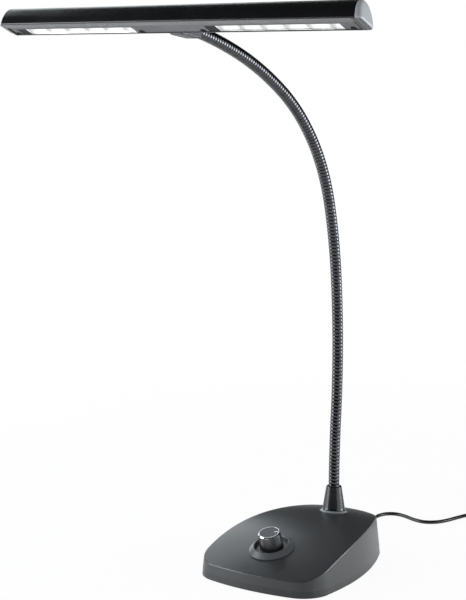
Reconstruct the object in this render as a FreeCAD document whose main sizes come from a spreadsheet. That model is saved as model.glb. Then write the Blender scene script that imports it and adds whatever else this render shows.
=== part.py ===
import FreeCAD, Part
import math
import os
from types import SimpleNamespace

import Sketcher
from FreeCAD import Placement, Rotation, Vector

# A piano lamp: a domed weighted base with a dimmer knob, a gooseneck, and a long LED head.
# Millimetres and degrees. X runs along the head, +Y to the back, +Z up. The origin is on the
# surface the lamp stands on, under the middle of the base.
sizes = {
    # base outline on the floor: four bulging edges and four round corners
    "front_half_width": 60.9,
    "rear_half_width": 36.9,
    "front_corner_reach": 80.0,
    "rear_corner_reach": 74.8,
    "front_bulge": 9.1,
    "side_bulge": 12.8,
    "rear_bulge": 12.1,
    "front_corner_radius": 27.0,
    "rear_corner_radius": 30.0,
    # base cover: a drafted wall cut by a dome
    "wall_draft": 6.4,
    "parting_height": 6.6,
    "cover_wall": 2.2,
    "cover_edge_fillet": 1.2,
    "dome_top_y": 24.6,
    "dome_top_height": 39.7,
    "dome_long_radius": 265.0,
    "dome_cross_radius": 433.0,
    # base tray, ballast, feet and screws
    "tray_step": 0.2,
    "tray_edge_fillet": 0.7,
    "tray_floor": 2.4,
    "tray_wall": 2.0,
    "foot_height": 0.5,
    "foot_recess": 1.2,
    "foot_radius": 5.5,
    "front_foot_x": 34.0,
    "front_foot_y": -75.0,
    "rear_foot_x": 21.0,
    "rear_foot_y": 70.0,
    "front_post_x": 45.0,
    "front_post_y": -62.0,
    "rear_post_x": 30.0,
    "rear_post_y": 60.0,
    "post_radius": 4.2,
    "screw_radius": 1.45,
    "screw_clearance": 0.05,
    "screw_head_radius": 2.7,
    "screw_head_height": 1.9,
    "screw_length": 10.0,
    "ballast_half_width": 36.0,
    "ballast_front": -54.0,
    "ballast_rear": 51.0,
    "ballast_thickness": 10.5,
    "ballast_corner": 6.0,
    "ballast_screw_x": 27.0,
    "ballast_screw_y": -30.0,
    "ballast_screw_bite": 1.6,
    # dimmer: potentiometer, bezel and knob on one tilted axis
    "knob_y": -51.0,
    "bezel_radius": 20.0,
    "bezel_rim_radius": 15.6,
    "bezel_rim_height": 3.8,
    "bezel_shadow_gap": 0.1,
    "bezel_rim_drop": 0.2,
    "bezel_lip": 0.5,
    "bezel_wall": 1.0,
    "bezel_floor": 1.0,
    "bezel_seat_radius": 12.0,
    "bezel_seat_depth": 0.5,
    "knob_top_radius": 9.7,
    "knob_foot_radius": 10.3,
    "knob_foot_height": 1.6,
    "knob_top_height": 15.6,
    "knob_skirt_radius": 7.6,
    "knob_skirt_depth": 4.0,
    "trim_height": 1.4,
    "trim_chamfer": 0.8,
    "trim_width": 1.2,
    "disc_recess": 0.25,
    "disc_thickness": 0.6,
    "pointer_inner": 4.6,
    "pointer_outer": 8.0,
    "pointer_width": 0.8,
    "pointer_height": 0.15,
    "pointer_turn": 28.0,
    "shaft_radius": 3.0,
    "shaft_clearance": 0.04,
    "shaft_depth": 7.0,
    "shaft_top_gap": 1.6,
    "bushing_radius": 3.5,
    "bushing_height": 3.4,
    "pot_seat_cut": 0.2,
    "pot_radius": 8.2,
    "pot_height": 8.0,
    "pot_nut_radius": 5.8,
    "pot_nut_height": 1.8,
    "fit_gap": 0.05,
    # driver board on four standoffs over the ballast
    "board_length": 46.0,
    "board_width": 32.0,
    "board_thickness": 1.6,
    "board_y": 6.0,
    "standoff_height": 3.0,
    "standoff_radius": 2.2,
    "standoff_inset": 3.5,
    "coil_radius": 5.5,
    "coil_height": 6.5,
    "chip_length": 9.0,
    "chip_width": 6.0,
    "chip_height": 2.2,
    # neck collar and its fixing
    "collar_y": 51.6,
    "collar_height": 23.8,
    "collar_foot_radius": 13.0,
    "collar_foot_lip": 1.5,
    "collar_base_radius": 10.4,
    "collar_top_radius": 7.2,
    "collar_rim_height": 1.4,
    "collar_rim_inset": 1.0,
    "collar_grip": 14.0,
    "stud_radius": 4.9,
    "stud_bore": 2.6,
    "stud_length": 26.0,
    "seat_boss_radius": 11.5,
    "seat_boss_depth": 2.0,
    "neck_washer_radius": 9.0,
    "neck_washer_thickness": 1.2,
    "neck_nut_radius": 8.4,
    "neck_nut_height": 4.5,
    # gooseneck: eight curved lengths with a ball and cup between neighbours
    "neck_radius": 5.0,
    "neck_bore": 1.8,
    "segment_length": 65.2,
    "neck_start_lean": 0.0,
    "ball_radius": 3.4,
    "ball_clearance": 0.3,
    "ball_neck_radius": 2.7,
    "cup_overlap": 0.8,
    "joint_relief": 2.7,
    "socket_grip": 12.0,
    # head: an extruded D section on the neck socket
    "head_ahead": 38.0,
    "head_above": 1.9,
    "head_roll": 23.3,
    "head_width": 21.9,
    "head_height": 18.1,
    "head_half_length": 164.5,
    "head_shift": 3.5,
    "head_wall": 1.4,
    "head_edge_radius": 1.1,
    "head_shoulder": 2.4,
    "front_lip_width": 6.8,
    "cap_thickness": 5.0,
    "cap_edge_radius": 1.3,
    "cap_plug_depth": 2.4,
    "panel_recess": 0.5,
    "panel_thickness": 1.0,
    "panel_flange": 1.8,
    "window_start": 34.7,
    "window_margin": 8.5,
    "window_front": -0.4,
    "window_rear": 9.0,
    "panel_screw_inner_x": 29.1,
    "left_screw_margin": 4.7,
    "right_screw_margin": 8.0,
    "panel_screw_v": 7.6,
    "panel_screw_radius": 1.0,
    "panel_screw_head_radius": 1.7,
    "panel_screw_head_height": 0.9,
    "panel_screw_length": 4.5,
    "lens_thickness": 1.0,
    "lens_margin": 1.6,
    "carrier_height": 4.6,
    "carrier_inner_x": 25.0,
    "carrier_end_gap": 0.5,
    "carrier_front": -5.0,
    "carrier_chamfer": 0.55,
    "cup_wall": 0.9,
    "cup_draft": 34.0,
    "led_size": 3.4,
    "led_height": 0.8,
    "led_board_thickness": 1.6,
    "lead_radius": 1.1,
    "lead_overlap": 6.0,
    # neck socket behind the head
    "socket_half_width": 6.2,
    "socket_under_wall": 0.9,
    "socket_over_wall": 1.4,
    "socket_foot_length": 5.5,
    "socket_edge_fillet": 1.5,
    "bolt_x": 3.6,
    "bolt_u": 5.0,
    "bolt_radius": 1.5,
    "bolt_head_radius": 2.4,
    "bolt_head_height": 1.6,
    "bolt_length": 6.0,
    "grub_radius": 1.5,
    "grub_length": 3.0,
    "grub_depth": 6.0,
    # cord, its relief at the base, and the plug-in adapter at its far end
    "cord_diameter": 3.5,
    "cord_exit_x": -15.0,
    "cord_exit_height": 12.0,
    "relief_length": 20.0,
    "relief_root_radius": 4.0,
    "relief_tip_radius": 2.6,
    "relief_flange_radius": 5.2,
    "relief_flange_width": 1.2,
    "relief_inside": 7.2,
    "coil_x": 84.0,
    "coil_y": 248.0,
    "coil_inner_turn": 14.0,
    "coil_turns_across": 4.0,
    "coil_layers": 4.0,
    "tail_length": 18.0,
    "adapter_length": 58.0,
    "adapter_width": 40.0,
    "adapter_height": 27.0,
    "adapter_fillet": 3.0,
    "adapter_relief_length": 14.0,
    "adapter_relief_radius": 3.2,
    "pin_radius": 2.0,
    "pin_length": 19.0,
    "pin_spacing": 19.0,
}

neck_turns = {
    "turn_one": -4.2,
    "turn_two": 5.17,
    "turn_three": 5.1,
    "turn_four": 9.47,
    "turn_five": 22.87,
    "turn_six": 19.87,
    "turn_seven": 10.87,
    "turn_eight": 8.34,
}
led_count = 6

# The cord's route from the relief at the base to the coil, chosen point by point.
cord_route = [
    (-15.0, 113.5, 12.0),
    (-15.4, 124.5, 9.6),
    (-16.2, 136.0, 5.4),
    (-17.8, 148.0, 1.75),
    (-20.2, 160.3, 1.75),
    (-21.8, 172.5, 1.75),
    (-18.6, 183.0, 1.75),
    (-9.5, 188.0, 1.75),
    (2.0, 185.4, 1.75),
    (13.5, 179.6, 1.75),
    (26.5, 177.2, 1.75),
    (37.2, 184.4, 1.75),
    (42.6, 197.0, 1.75),
    (45.6, 210.0, 1.75),
    (49.2, 222.8, 1.75),
    (54.6, 235.6, 1.75),
]

doc = FreeCAD.newDocument("PianoLamp")
sheet = doc.addObject("Spreadsheet::Sheet", "Sizes")


def fill_sheet(rows):
    """Write each size in column B with its name as the alias, and the name beside it."""
    for row, (name, number) in enumerate(rows, start=1):
        sheet.set("A%d" % row, name)
        sheet.set("B%d" % row, str(number))
        sheet.setAlias("B%d" % row, name)
    doc.recompute()


class Size:
    """A number together with the sheet formula that gives it."""

    def __init__(self, number, formula):
        self.number = number
        self.formula = formula

    def __add__(self, other):
        return joined(self, "+", other)

    def __radd__(self, other):
        return joined(other, "+", self)

    def __sub__(self, other):
        return joined(self, "-", other)

    def __rsub__(self, other):
        return joined(other, "-", self)

    def __mul__(self, other):
        return joined(self, "*", other)

    def __rmul__(self, other):
        return joined(other, "*", self)

    def __truediv__(self, other):
        return joined(self, "/", other)

    def __neg__(self):
        return joined(-1, "*", self)


def as_size(value):
    if isinstance(value, Size):
        return value
    return Size(float(value), "(%r)" % float(value))


def joined(left, sign, right):
    left = as_size(left)
    right = as_size(right)
    if sign == "+":
        number = left.number + right.number
    elif sign == "-":
        number = left.number - right.number
    elif sign == "*":
        number = left.number * right.number
    else:
        number = left.number / right.number
    return Size(number, "(%s %s %s)" % (left.formula, sign, right.formula))


def sine(angle):
    angle = as_size(angle)
    return Size(math.sin(math.radians(angle.number)), "sin(%s)" % angle.formula)


def cosine(angle):
    angle = as_size(angle)
    return Size(math.cos(math.radians(angle.number)), "cos(%s)" % angle.formula)


def tangent(angle):
    return sine(angle) / cosine(angle)


def arcsine(value):
    return Size(math.degrees(math.asin(value.number)), "asin(%s)" % value.formula)


def root(value):
    return Size(math.sqrt(value.number), "sqrt(%s)" % value.formula)


fill_sheet(list(sizes.items()) + list(neck_turns.items()))
s = SimpleNamespace(**{name: Size(sheet.get(name), "Sizes." + name) for name in sizes})
turns = [Size(sheet.get(name), "Sizes." + name) for name in neck_turns]
pieces = []


def bind(thing, name, value):
    """Set one property from a number, or tie it to the sheet."""
    if isinstance(value, Size):
        thing.setExpression(name, value.formula)
    else:
        thing.setExpression(name, repr(float(value)))


def put(thing, place=(0, 0, 0), turn=0, about=(1, 0, 0)):
    """Place a piece, turned about an axis by an angle, with every value tied to the sheet."""
    angle = as_size(turn)
    axis = Vector(*about)
    thing.Placement = Placement(Vector(0, 0, 0), Rotation(axis, angle.number))
    for letter, value in zip("xyz", place):
        bind(thing, "Placement.Base." + letter, value)
    return thing


def piece(thing, label):
    """Name a finished sub-part and list it for writing."""
    thing.Label = label
    pieces.append(thing)
    return thing


def new_body(name, place=(0, 0, 0), turn=0, about=(1, 0, 0)):
    return put(doc.addObject("PartDesign::Body", name), place, turn, about)


def new_sketch(body, role, name, offset=0):
    """A sketch on one of the body's own planes, moved along the plane's normal."""
    sketch = body.newObject("Sketcher::SketchObject", name)
    plane = [item for item in body.Origin.OriginFeatures if item.Role == role][0]
    sketch.AttachmentSupport = [(plane, "")]
    sketch.MapMode = "FlatFace"
    bind(sketch, "AttachmentOffset.Base.z", offset)
    return sketch


def draw_polygon(sketch, points):
    """A closed outline of straight lines; each corner is tied to the sheet."""
    corners = [(as_size(a), as_size(b)) for a, b in points]
    first = sketch.GeometryCount
    count = len(corners)
    for index, (a, b) in enumerate(corners):
        c, d = corners[(index + 1) % count]
        start = Vector(a.number, b.number, 0)
        end = Vector(c.number, d.number, 0)
        sketch.addGeometry(Part.LineSegment(start, end))
    for index in range(count):
        here = first + index
        after = first + (index + 1) % count
        sketch.addConstraint(Sketcher.Constraint("Coincident", here, 2, after, 1))
    for index, (a, b) in enumerate(corners):
        for kind, size in (("DistanceX", a), ("DistanceY", b)):
            rule = Sketcher.Constraint(kind, first + index, 1, size.number)
            number = sketch.addConstraint(rule)
            bind(sketch, "Constraints[%d]" % number, size)


def draw_circle(sketch, x, y, radius):
    """A circle whose centre and radius are tied to the sheet."""
    x = as_size(x)
    y = as_size(y)
    middle = Vector(x.number, y.number, 0)
    index = sketch.addGeometry(Part.Circle(middle, Vector(0, 0, 1), radius.number))
    for kind, size in (("DistanceX", x), ("DistanceY", y)):
        number = sketch.addConstraint(Sketcher.Constraint(kind, index, 3, size.number))
        bind(sketch, "Constraints[%d]" % number, size)
    number = sketch.addConstraint(Sketcher.Constraint("Radius", index, radius.number))
    bind(sketch, "Constraints[%d]" % number, radius)


def pad(body, sketch, length, draft=0, middle=False, down=False):
    feature = body.newObject("PartDesign::Pad", sketch.Name + "_pad")
    feature.Profile = sketch
    bind(feature, "Length", length)
    bind(feature, "TaperAngle", -as_size(draft))
    feature.Midplane = middle
    feature.Reversed = down
    return feature


def pocket(body, sketch, length, draft=0, middle=False, up=False):
    """Cut a sketch into the body; it cuts against the sketch's normal unless up is set."""
    feature = body.newObject("PartDesign::Pocket", sketch.Name + "_pocket")
    feature.Profile = sketch
    bind(feature, "Length", length)
    bind(feature, "TaperAngle", -as_size(draft))
    feature.Midplane = middle
    feature.Reversed = up
    return feature


def turned(name, profile, place=(0, 0, 0), turn=0, about=(1, 0, 0)):
    """A body turned about its own Z from (radius, height) corners."""
    body = new_body(name, place, turn, about)
    sketch = new_sketch(body, "XZ_Plane", name + "_profile")
    draw_polygon(sketch, profile)
    feature = body.newObject("PartDesign::Revolution", name + "_turned")
    feature.Profile = sketch
    feature.ReferenceAxis = (sketch, ["V_Axis"])
    feature.Angle = 360
    return body


def primitive(kind, name, place=(0, 0, 0), turn=0, about=(1, 0, 0), **lengths):
    """A Part primitive with its sizes and place tied to the sheet."""
    thing = put(doc.addObject("Part::" + kind, name), place, turn, about)
    for prop, value in lengths.items():
        bind(thing, prop, value)
    return thing


def fused(name, members):
    thing = doc.addObject("Part::MultiFuse", name)
    thing.Shapes = members
    return thing


def cut(name, base, tool):
    thing = doc.addObject("Part::Cut", name)
    thing.Base = base
    thing.Tool = tool
    return thing


def grouped(label, members):
    """Several identical solids under one name."""
    thing = doc.addObject("Part::Compound", label)
    thing.Links = members
    return piece(thing, label)


# ---- base outline and dome ------------------------------------------------------------------


def edge_circle(start, end, bulge):
    """Centre and radius of the arc from start to end that bulges outwards."""
    chord = end - start
    radius = (chord.Length ** 2 / 4 + bulge ** 2) / (2 * bulge)
    outward = Vector(chord.y, -chord.x, 0).normalize()
    return (start + end) * 0.5 - outward * (radius - bulge), radius


def corner_centre(first, second, radius, corner):
    """Centre of the corner arc that touches both edge arcs from inside."""
    (centre_a, radius_a), (centre_b, radius_b) = first, second
    reach_a = radius_a - radius
    reach_b = radius_b - radius
    gap = centre_b - centre_a
    along = gap * (1 / gap.Length)
    ahead = (reach_a ** 2 - reach_b ** 2 + gap.Length ** 2) / (2 * gap.Length)
    aside = math.sqrt(reach_a ** 2 - ahead ** 2)
    side = Vector(-along.y, along.x, 0) * aside
    choices = [centre_a + along * ahead + side, centre_a + along * ahead - side]
    return min(choices, key=lambda point: (point - corner).Length)


def base_outline(inset):
    """Arcs of the base outline drawn in by inset, anticlockwise from the front edge."""
    front = s.front_half_width.number
    rear = s.rear_half_width.number
    corners = [
        Vector(-front, -s.front_corner_reach.number, 0),
        Vector(front, -s.front_corner_reach.number, 0),
        Vector(rear, s.rear_corner_reach.number, 0),
        Vector(-rear, s.rear_corner_reach.number, 0),
    ]
    bulges = [s.front_bulge, s.side_bulge, s.rear_bulge, s.side_bulge]
    near = s.front_corner_radius.number
    far = s.rear_corner_radius.number
    radii = [near, near, far, far]
    edges = []
    for index in range(4):
        edges.append(edge_circle(corners[index], corners[(index + 1) % 4], bulges[index].number))
    centres = []
    for index in range(4):
        centres.append(corner_centre(edges[index - 1], edges[index], radii[index], corners[index]))
    arcs = []
    for index in range(4):
        after = (index + 1) % 4
        middle, radius = edges[index]
        arcs.append(arc_between(middle, radius - inset, centres[index] - middle, centres[after] - middle))
        next_middle = edges[after][0]
        start = centres[after] - middle
        end = centres[after] - next_middle
        arcs.append(arc_between(centres[after], radii[after] - inset, start, end))
    return arcs


def arc_between(centre, radius, start, end):
    """Anticlockwise arc between two directions."""
    first = math.atan2(start.y, start.x)
    last = math.atan2(end.y, end.x)
    if last < first:
        last += 2 * math.pi
    return Part.ArcOfCircle(Part.Circle(centre, Vector(0, 0, 1), radius), first, last)


def draw_outline(sketch, inset):
    for arc in base_outline(inset.number):
        sketch.addGeometry(arc)


def dome_height(y):
    """Height of the dome's middle line above the floor."""
    away = y - s.dome_top_y
    drop = s.dome_long_radius - root(s.dome_long_radius * s.dome_long_radius - away * away)
    return s.dome_top_height - drop


def dome_cut(body, name, offset):
    """Turn the dome's long arc about its cross axis and cut away all that lies above it."""
    sketch = new_sketch(body, "YZ_Plane", name)
    middle = s.dome_top_y.number
    radius = s.dome_long_radius.number + offset.number
    centre = Vector(middle, s.dome_top_height.number - s.dome_long_radius.number, 0)
    reach = 1.3 * (s.front_corner_reach.number + s.front_bulge.number)
    swing = math.asin(reach / radius)
    left = centre + Vector(-radius * math.sin(swing), radius * math.cos(swing), 0)
    right = centre + Vector(radius * math.sin(swing), radius * math.cos(swing), 0)
    level = 2 * s.dome_top_height.number
    circle = Part.Circle(centre, Vector(0, 0, 1), radius)
    sketch.addGeometry(Part.ArcOfCircle(circle, math.pi / 2 - swing, math.pi / 2 + swing))
    corners = [left, Vector(left.x, level, 0), Vector(right.x, level, 0), right]
    for start, end in zip(corners, corners[1:]):
        sketch.addGeometry(Part.LineSegment(start, end))
    axis_height = s.dome_top_height.number - s.dome_cross_radius.number
    axis = Part.LineSegment(Vector(-reach, axis_height, 0), Vector(reach, axis_height, 0))
    sketch.addGeometry(axis, True)
    groove = body.newObject("PartDesign::Groove", name + "_groove")
    groove.Profile = sketch
    groove.ReferenceAxis = (sketch, ["Axis0"])
    groove.Midplane = True
    groove.Angle = 40
    return groove


def wall_inset(height):
    """How far the drafted wall stands inside the floor outline at a height."""
    return tangent(s.wall_draft) * height


def post_spots():
    return [
        (side * x, y)
        for x, y in ((s.front_post_x, s.front_post_y), (s.rear_post_x, s.rear_post_y))
        for side in (-1, 1)
    ]


def domed_block(name, start, inset, offset):
    """The drafted outline from a height upwards, cut by the dome moved by offset."""
    body = new_body(name)
    sketch = new_sketch(body, "XY_Plane", name + "_outline", start)
    draw_outline(sketch, inset)
    pad(body, sketch, s.dome_top_height, draft=s.wall_draft)
    dome = dome_cut(body, name + "_dome", offset)
    return body, dome


def knob_tilt():
    """The dimmer stands square on the dome."""
    return arcsine((s.dome_top_y - s.knob_y) / s.dome_long_radius)


def knob_point(height):
    """A point on the dimmer's axis, that far above the dome."""
    y = s.knob_y - sine(knob_tilt()) * height
    z = dome_height(s.knob_y) + cosine(knob_tilt()) * height
    return (0, y, z)


def make_base_cover():
    form, dome = domed_block(
        "cover_form", s.parting_height, wall_inset(s.parting_height), Size(0.0, "0")
    )
    doc.recompute()
    edges = []
    for index, edge in enumerate(dome.Shape.Edges, start=1):
        if edge.BoundBox.ZMin > s.parting_height.number + 1:
            edges.append("Edge%d" % index)
    fillet = form.newObject("PartDesign::Fillet", "cover_edge")
    fillet.Base = (dome, edges)
    bind(fillet, "Radius", s.cover_edge_fillet)
    cavity, _ = domed_block(
        "cover_cavity",
        s.parting_height,
        wall_inset(s.parting_height) + s.cover_wall,
        -s.cover_wall,
    )
    # material kept inside the cavity: screw posts and the seat of the neck nut
    inner, _ = domed_block(
        "cover_inner", s.parting_height, wall_inset(s.parting_height) + s.cover_wall / 2,
        -s.cover_wall / 2,
    )
    columns = []
    for index, (x, y) in enumerate(post_spots(), start=1):
        columns.append(primitive(
            "Cylinder", "cover_post_%d" % index, (x, y, s.parting_height),
            Radius=s.post_radius, Height=s.dome_top_height,
        ))
    seat = dome_height(s.collar_y) - s.cover_wall - s.seat_boss_depth
    columns.append(primitive(
        "Cylinder", "cover_neck_boss", (0, s.collar_y, seat),
        Radius=s.seat_boss_radius, Height=s.dome_top_height,
    ))
    kept = doc.addObject("Part::MultiCommon", "cover_posts")
    kept.Shapes = [inner, fused("cover_columns", columns)]
    hollow = cut("cover_hollow", form, cavity)
    solid = fused("cover_solid", [hollow, kept])
    holes = [
        primitive(
            "Cylinder", "cover_neck_hole", (0, s.collar_y, s.parting_height),
            Radius=s.stud_radius + s.fit_gap, Height=2 * s.dome_top_height,
        ),
        primitive(
            "Cylinder", "cover_knob_hole", knob_point(-2 * s.pot_height), knob_tilt(),
            Radius=s.bushing_radius + s.fit_gap, Height=4 * s.pot_height,
        ),
        primitive(
            "Cylinder", "cover_knob_seat", knob_point(-s.bezel_seat_depth), knob_tilt(),
            Radius=s.bezel_seat_radius + s.fit_gap, Height=s.pot_height,
        ),
        primitive(
            "Cylinder", "cover_pot_seat", knob_point(-s.pot_height - pot_face()), knob_tilt(),
            Radius=s.pot_radius + 4 * s.fit_gap, Height=s.pot_height,
        ),
        primitive(
            "Cylinder", "cover_cord_hole",
            (s.cord_exit_x, s.rear_corner_reach - s.cover_wall, s.cord_exit_height), -90,
            Radius=s.relief_root_radius + s.fit_gap, Height=s.relief_length,
        ),
    ]
    for index, (x, y) in enumerate(post_spots(), start=1):
        holes.append(primitive(
            "Cylinder", "cover_screw_hole_%d" % index, (x, y, 0),
            Radius=s.screw_radius + s.screw_clearance, Height=screw_tip() + 1,
        ))
    cover = cut("base_cover", solid, fused("cover_holes", holes))
    piece(cover, "base_cover")


def pot_face():
    """Depth of the flat seat for the potentiometer under the dome, along the knob's axis."""
    return s.cover_wall - s.pot_seat_cut


def screw_tip():
    return s.foot_height + s.screw_head_height + s.screw_length


def make_base_tray():
    body = new_body("tray_form")
    outline = new_sketch(body, "XY_Plane", "tray_outline", s.foot_height)
    draw_outline(outline, wall_inset(s.foot_height) + s.tray_step)
    block = pad(body, outline, s.parting_height - s.foot_height, draft=s.wall_draft)
    doc.recompute()
    edges = []
    for index, edge in enumerate(block.Shape.Edges, start=1):
        if edge.BoundBox.ZMax < s.foot_height.number + 1e-6:
            edges.append("Edge%d" % index)
    rounding = body.newObject("PartDesign::Fillet", "tray_edge")
    rounding.Base = (block, edges)
    bind(rounding, "Radius", s.tray_edge_fillet)
    hollow = new_sketch(body, "XY_Plane", "tray_hollow", s.parting_height)
    draw_outline(hollow, wall_inset(s.parting_height) + s.tray_step + s.tray_wall)
    pocket(body, hollow, s.parting_height - s.foot_height - s.tray_floor)
    posts = []
    holes = []
    for index, (x, y) in enumerate(post_spots(), start=1):
        posts.append(primitive(
            "Cylinder", "tray_post_%d" % index, (x, y, s.foot_height + 1),
            Radius=s.post_radius, Height=s.parting_height - s.foot_height - 1,
        ))
        holes.append(primitive(
            "Cylinder", "tray_screw_hole_%d" % index, (x, y, 0),
            Radius=s.screw_radius + s.screw_clearance, Height=s.parting_height + 1,
        ))
        holes.append(primitive(
            "Cylinder", "tray_head_hole_%d" % index, (x, y, 0),
            Radius=s.screw_head_radius + s.fit_gap, Height=s.foot_height + s.screw_head_height,
        ))
    for index, (x, y) in enumerate(foot_spots(), start=1):
        holes.append(primitive(
            "Cylinder", "tray_foot_hole_%d" % index, (x, y, 0),
            Radius=s.foot_radius + s.fit_gap, Height=s.foot_height + s.foot_recess,
        ))
    for side in (-1, 1):
        place = (side * s.ballast_screw_x, s.ballast_screw_y, tray_top() - s.ballast_screw_bite)
        holes.append(primitive(
            "Cylinder", "tray_ballast_hole_%d" % (side + 2), place,
            Radius=s.screw_radius + s.screw_clearance, Height=s.tray_floor,
        ))
    solid = fused("tray_solid", [body] + posts)
    piece(cut("base_tray", solid, fused("tray_holes", holes)), "base_tray")


def foot_spots():
    return [
        (side * x, y)
        for x, y in ((s.front_foot_x, s.front_foot_y), (s.rear_foot_x, s.rear_foot_y))
        for side in (-1, 1)
    ]


def make_feet():
    feet = []
    top = s.foot_height + s.foot_recess
    profile = [(0, 0), (s.foot_radius - 0.6, 0), (s.foot_radius, 0.6), (s.foot_radius, top), (0, top)]
    for index, (x, y) in enumerate(foot_spots(), start=1):
        feet.append(turned("rubber_foot_%d" % index, profile, (x, y, 0)))
    grouped("rubber_feet", feet)


def screw_profile(head_radius, head_height, radius, length):
    """Head below, shank above, from the head's outer face."""
    return [
        (0, 0),
        (head_radius, 0),
        (head_radius, head_height),
        (radius, head_height),
        (radius, head_height + length),
        (0, head_height + length),
    ]


def make_base_screws():
    screws = []
    profile = screw_profile(s.screw_head_radius, s.screw_head_height, s.screw_radius, s.screw_length)
    for index, (x, y) in enumerate(post_spots(), start=1):
        screws.append(turned("base_screw_%d" % index, profile, (x, y, s.foot_height)))
    grouped("base_screws", screws)


def tray_top():
    return s.foot_height + s.tray_floor


def make_ballast():
    body = new_body("ballast_plate", (0, 0, tray_top()))
    sketch = new_sketch(body, "XY_Plane", "ballast_outline")
    wide = s.ballast_half_width
    corner = s.ballast_corner
    draw_polygon(sketch, [
        (corner - wide, s.ballast_front),
        (wide - corner, s.ballast_front),
        (wide, s.ballast_front + corner),
        (wide, s.ballast_rear - corner),
        (wide - corner, s.ballast_rear),
        (corner - wide, s.ballast_rear),
        (-wide, s.ballast_rear - corner),
        (-wide, s.ballast_front + corner),
    ])
    pad(body, sketch, s.ballast_thickness)
    holes = new_sketch(body, "XY_Plane", "ballast_holes")
    heads = new_sketch(body, "XY_Plane", "ballast_head_holes", s.ballast_thickness)
    for side in (-1, 1):
        x = side * s.ballast_screw_x
        draw_circle(holes, x, s.ballast_screw_y, s.screw_radius + s.screw_clearance)
        draw_circle(heads, x, s.ballast_screw_y, s.screw_head_radius + s.fit_gap)
    pocket(body, holes, s.ballast_thickness, up=True)
    pocket(body, heads, s.screw_head_height)
    piece(body, "ballast_plate")
    screws = []
    length = s.ballast_thickness - s.screw_head_height + s.ballast_screw_bite
    profile = screw_profile(s.screw_head_radius, s.screw_head_height, s.screw_radius, length)
    for side in (-1, 1):
        place = (side * s.ballast_screw_x, s.ballast_screw_y, ballast_top())
        screws.append(turned("ballast_screw_%d" % (side + 2), profile, place, 180))
    grouped("ballast_screws", screws)


# ---- dimmer ---------------------------------------------------------------------------------


def on_knob_axis(name, profile):
    return turned(name, profile, knob_point(Size(0.0, "0")), knob_tilt())


def make_bezel():
    inner = s.bezel_rim_radius - s.bezel_wall
    hole = s.bushing_radius + s.fit_gap
    bezel = on_knob_axis("knob_bezel", [
        (hole, -s.bezel_seat_depth),
        (s.bezel_seat_radius, -s.bezel_seat_depth),
        (s.bezel_seat_radius, s.bezel_shadow_gap),
        (s.bezel_radius, -s.bezel_rim_drop),
        (s.bezel_radius, s.bezel_lip),
        (s.bezel_rim_radius + 0.3, s.bezel_rim_height),
        (s.bezel_rim_radius - 0.4, s.bezel_rim_height),
        (inner, s.bezel_rim_height - 0.5),
        (inner, s.bezel_floor),
        (hole, s.bezel_floor),
    ])
    piece(bezel, "knob_bezel")


def make_knob():
    """The knob hides the potentiometer's nut in a skirt and is bored for the shaft."""
    shaft = s.shaft_radius + s.shaft_clearance
    foot = s.knob_foot_height
    top = s.knob_top_height
    rest = top - s.trim_height
    ring = s.knob_top_radius - s.trim_width
    seat = top - s.disc_recess - s.disc_thickness
    knob = on_knob_axis("dimmer_knob", [
        (shaft, foot + s.knob_skirt_depth),
        (s.knob_skirt_radius, foot + s.knob_skirt_depth),
        (s.knob_skirt_radius, foot),
        (s.knob_foot_radius, foot),
        (s.knob_top_radius, rest),
        (ring, rest),
        (ring, seat),
        (0, seat),
        (0, top - s.shaft_top_gap),
        (shaft, top - s.shaft_top_gap),
    ])
    piece(knob, "dimmer_knob")
    trim = on_knob_axis("knob_trim_ring", [
        (ring, rest),
        (s.knob_top_radius, rest),
        (s.knob_top_radius, top - s.trim_chamfer),
        (s.knob_top_radius - s.trim_chamfer, top),
        (ring, top),
    ])
    piece(trim, "knob_trim_ring")
    disc = on_knob_axis("knob_disc", [
        (0, seat),
        (ring - s.fit_gap, seat),
        (ring - s.fit_gap, top - s.disc_recess),
        (0, top - s.disc_recess),
    ])
    piece(disc, "knob_disc")


def make_pointer():
    body = new_body("knob_pointer", knob_point(s.knob_top_height - s.disc_recess), knob_tilt())
    sketch = new_sketch(body, "XY_Plane", "pointer_outline")
    lean = cosine(s.pointer_turn)
    rise = sine(s.pointer_turn)
    half = s.pointer_width / 2
    corners = []
    for reach, side in (
        (s.pointer_inner, -half), (s.pointer_outer, -half),
        (s.pointer_outer, half), (s.pointer_inner, half),
    ):
        corners.append((reach * lean - side * rise, reach * rise + side * lean))
    draw_polygon(sketch, corners)
    pad(body, sketch, s.pointer_height)
    piece(body, "knob_pointer")


def make_potentiometer():
    """Body under the dome, threaded bushing through it, nut on the bezel's floor."""
    face = -pot_face()
    bore = s.shaft_radius + s.shaft_clearance
    back = face - s.pot_height
    pot = on_knob_axis("dimmer_pot", [
        (0, back),
        (s.pot_radius, back),
        (s.pot_radius, face),
        (s.bushing_radius, face),
        (s.bushing_radius, s.bezel_floor + s.bushing_height),
        (bore, s.bezel_floor + s.bushing_height),
        (bore, -s.shaft_depth),
        (0, -s.shaft_depth),
    ])
    piece(pot, "dimmer_pot")
    shaft = on_knob_axis("pot_shaft", [
        (0, s.shaft_clearance - s.shaft_depth),
        (s.shaft_radius, s.shaft_clearance - s.shaft_depth),
        (s.shaft_radius, s.knob_top_height - s.shaft_top_gap - s.fit_gap),
        (0, s.knob_top_height - s.shaft_top_gap - s.fit_gap),
    ])
    piece(shaft, "pot_shaft")
    block = primitive(
        "Prism", "pot_nut_block", Circumradius=s.pot_nut_radius, Height=s.pot_nut_height,
    )
    hole = primitive(
        "Cylinder", "pot_nut_hole", Radius=s.bushing_radius + s.fit_gap / 2, Height=s.pot_nut_height,
    )
    nut = cut("pot_nut", block, hole)
    put(nut, knob_point(s.bezel_floor), knob_tilt())
    piece(nut, "pot_nut")


# ---- driver board ---------------------------------------------------------------------------


def ballast_top():
    return tray_top() + s.ballast_thickness


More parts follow.
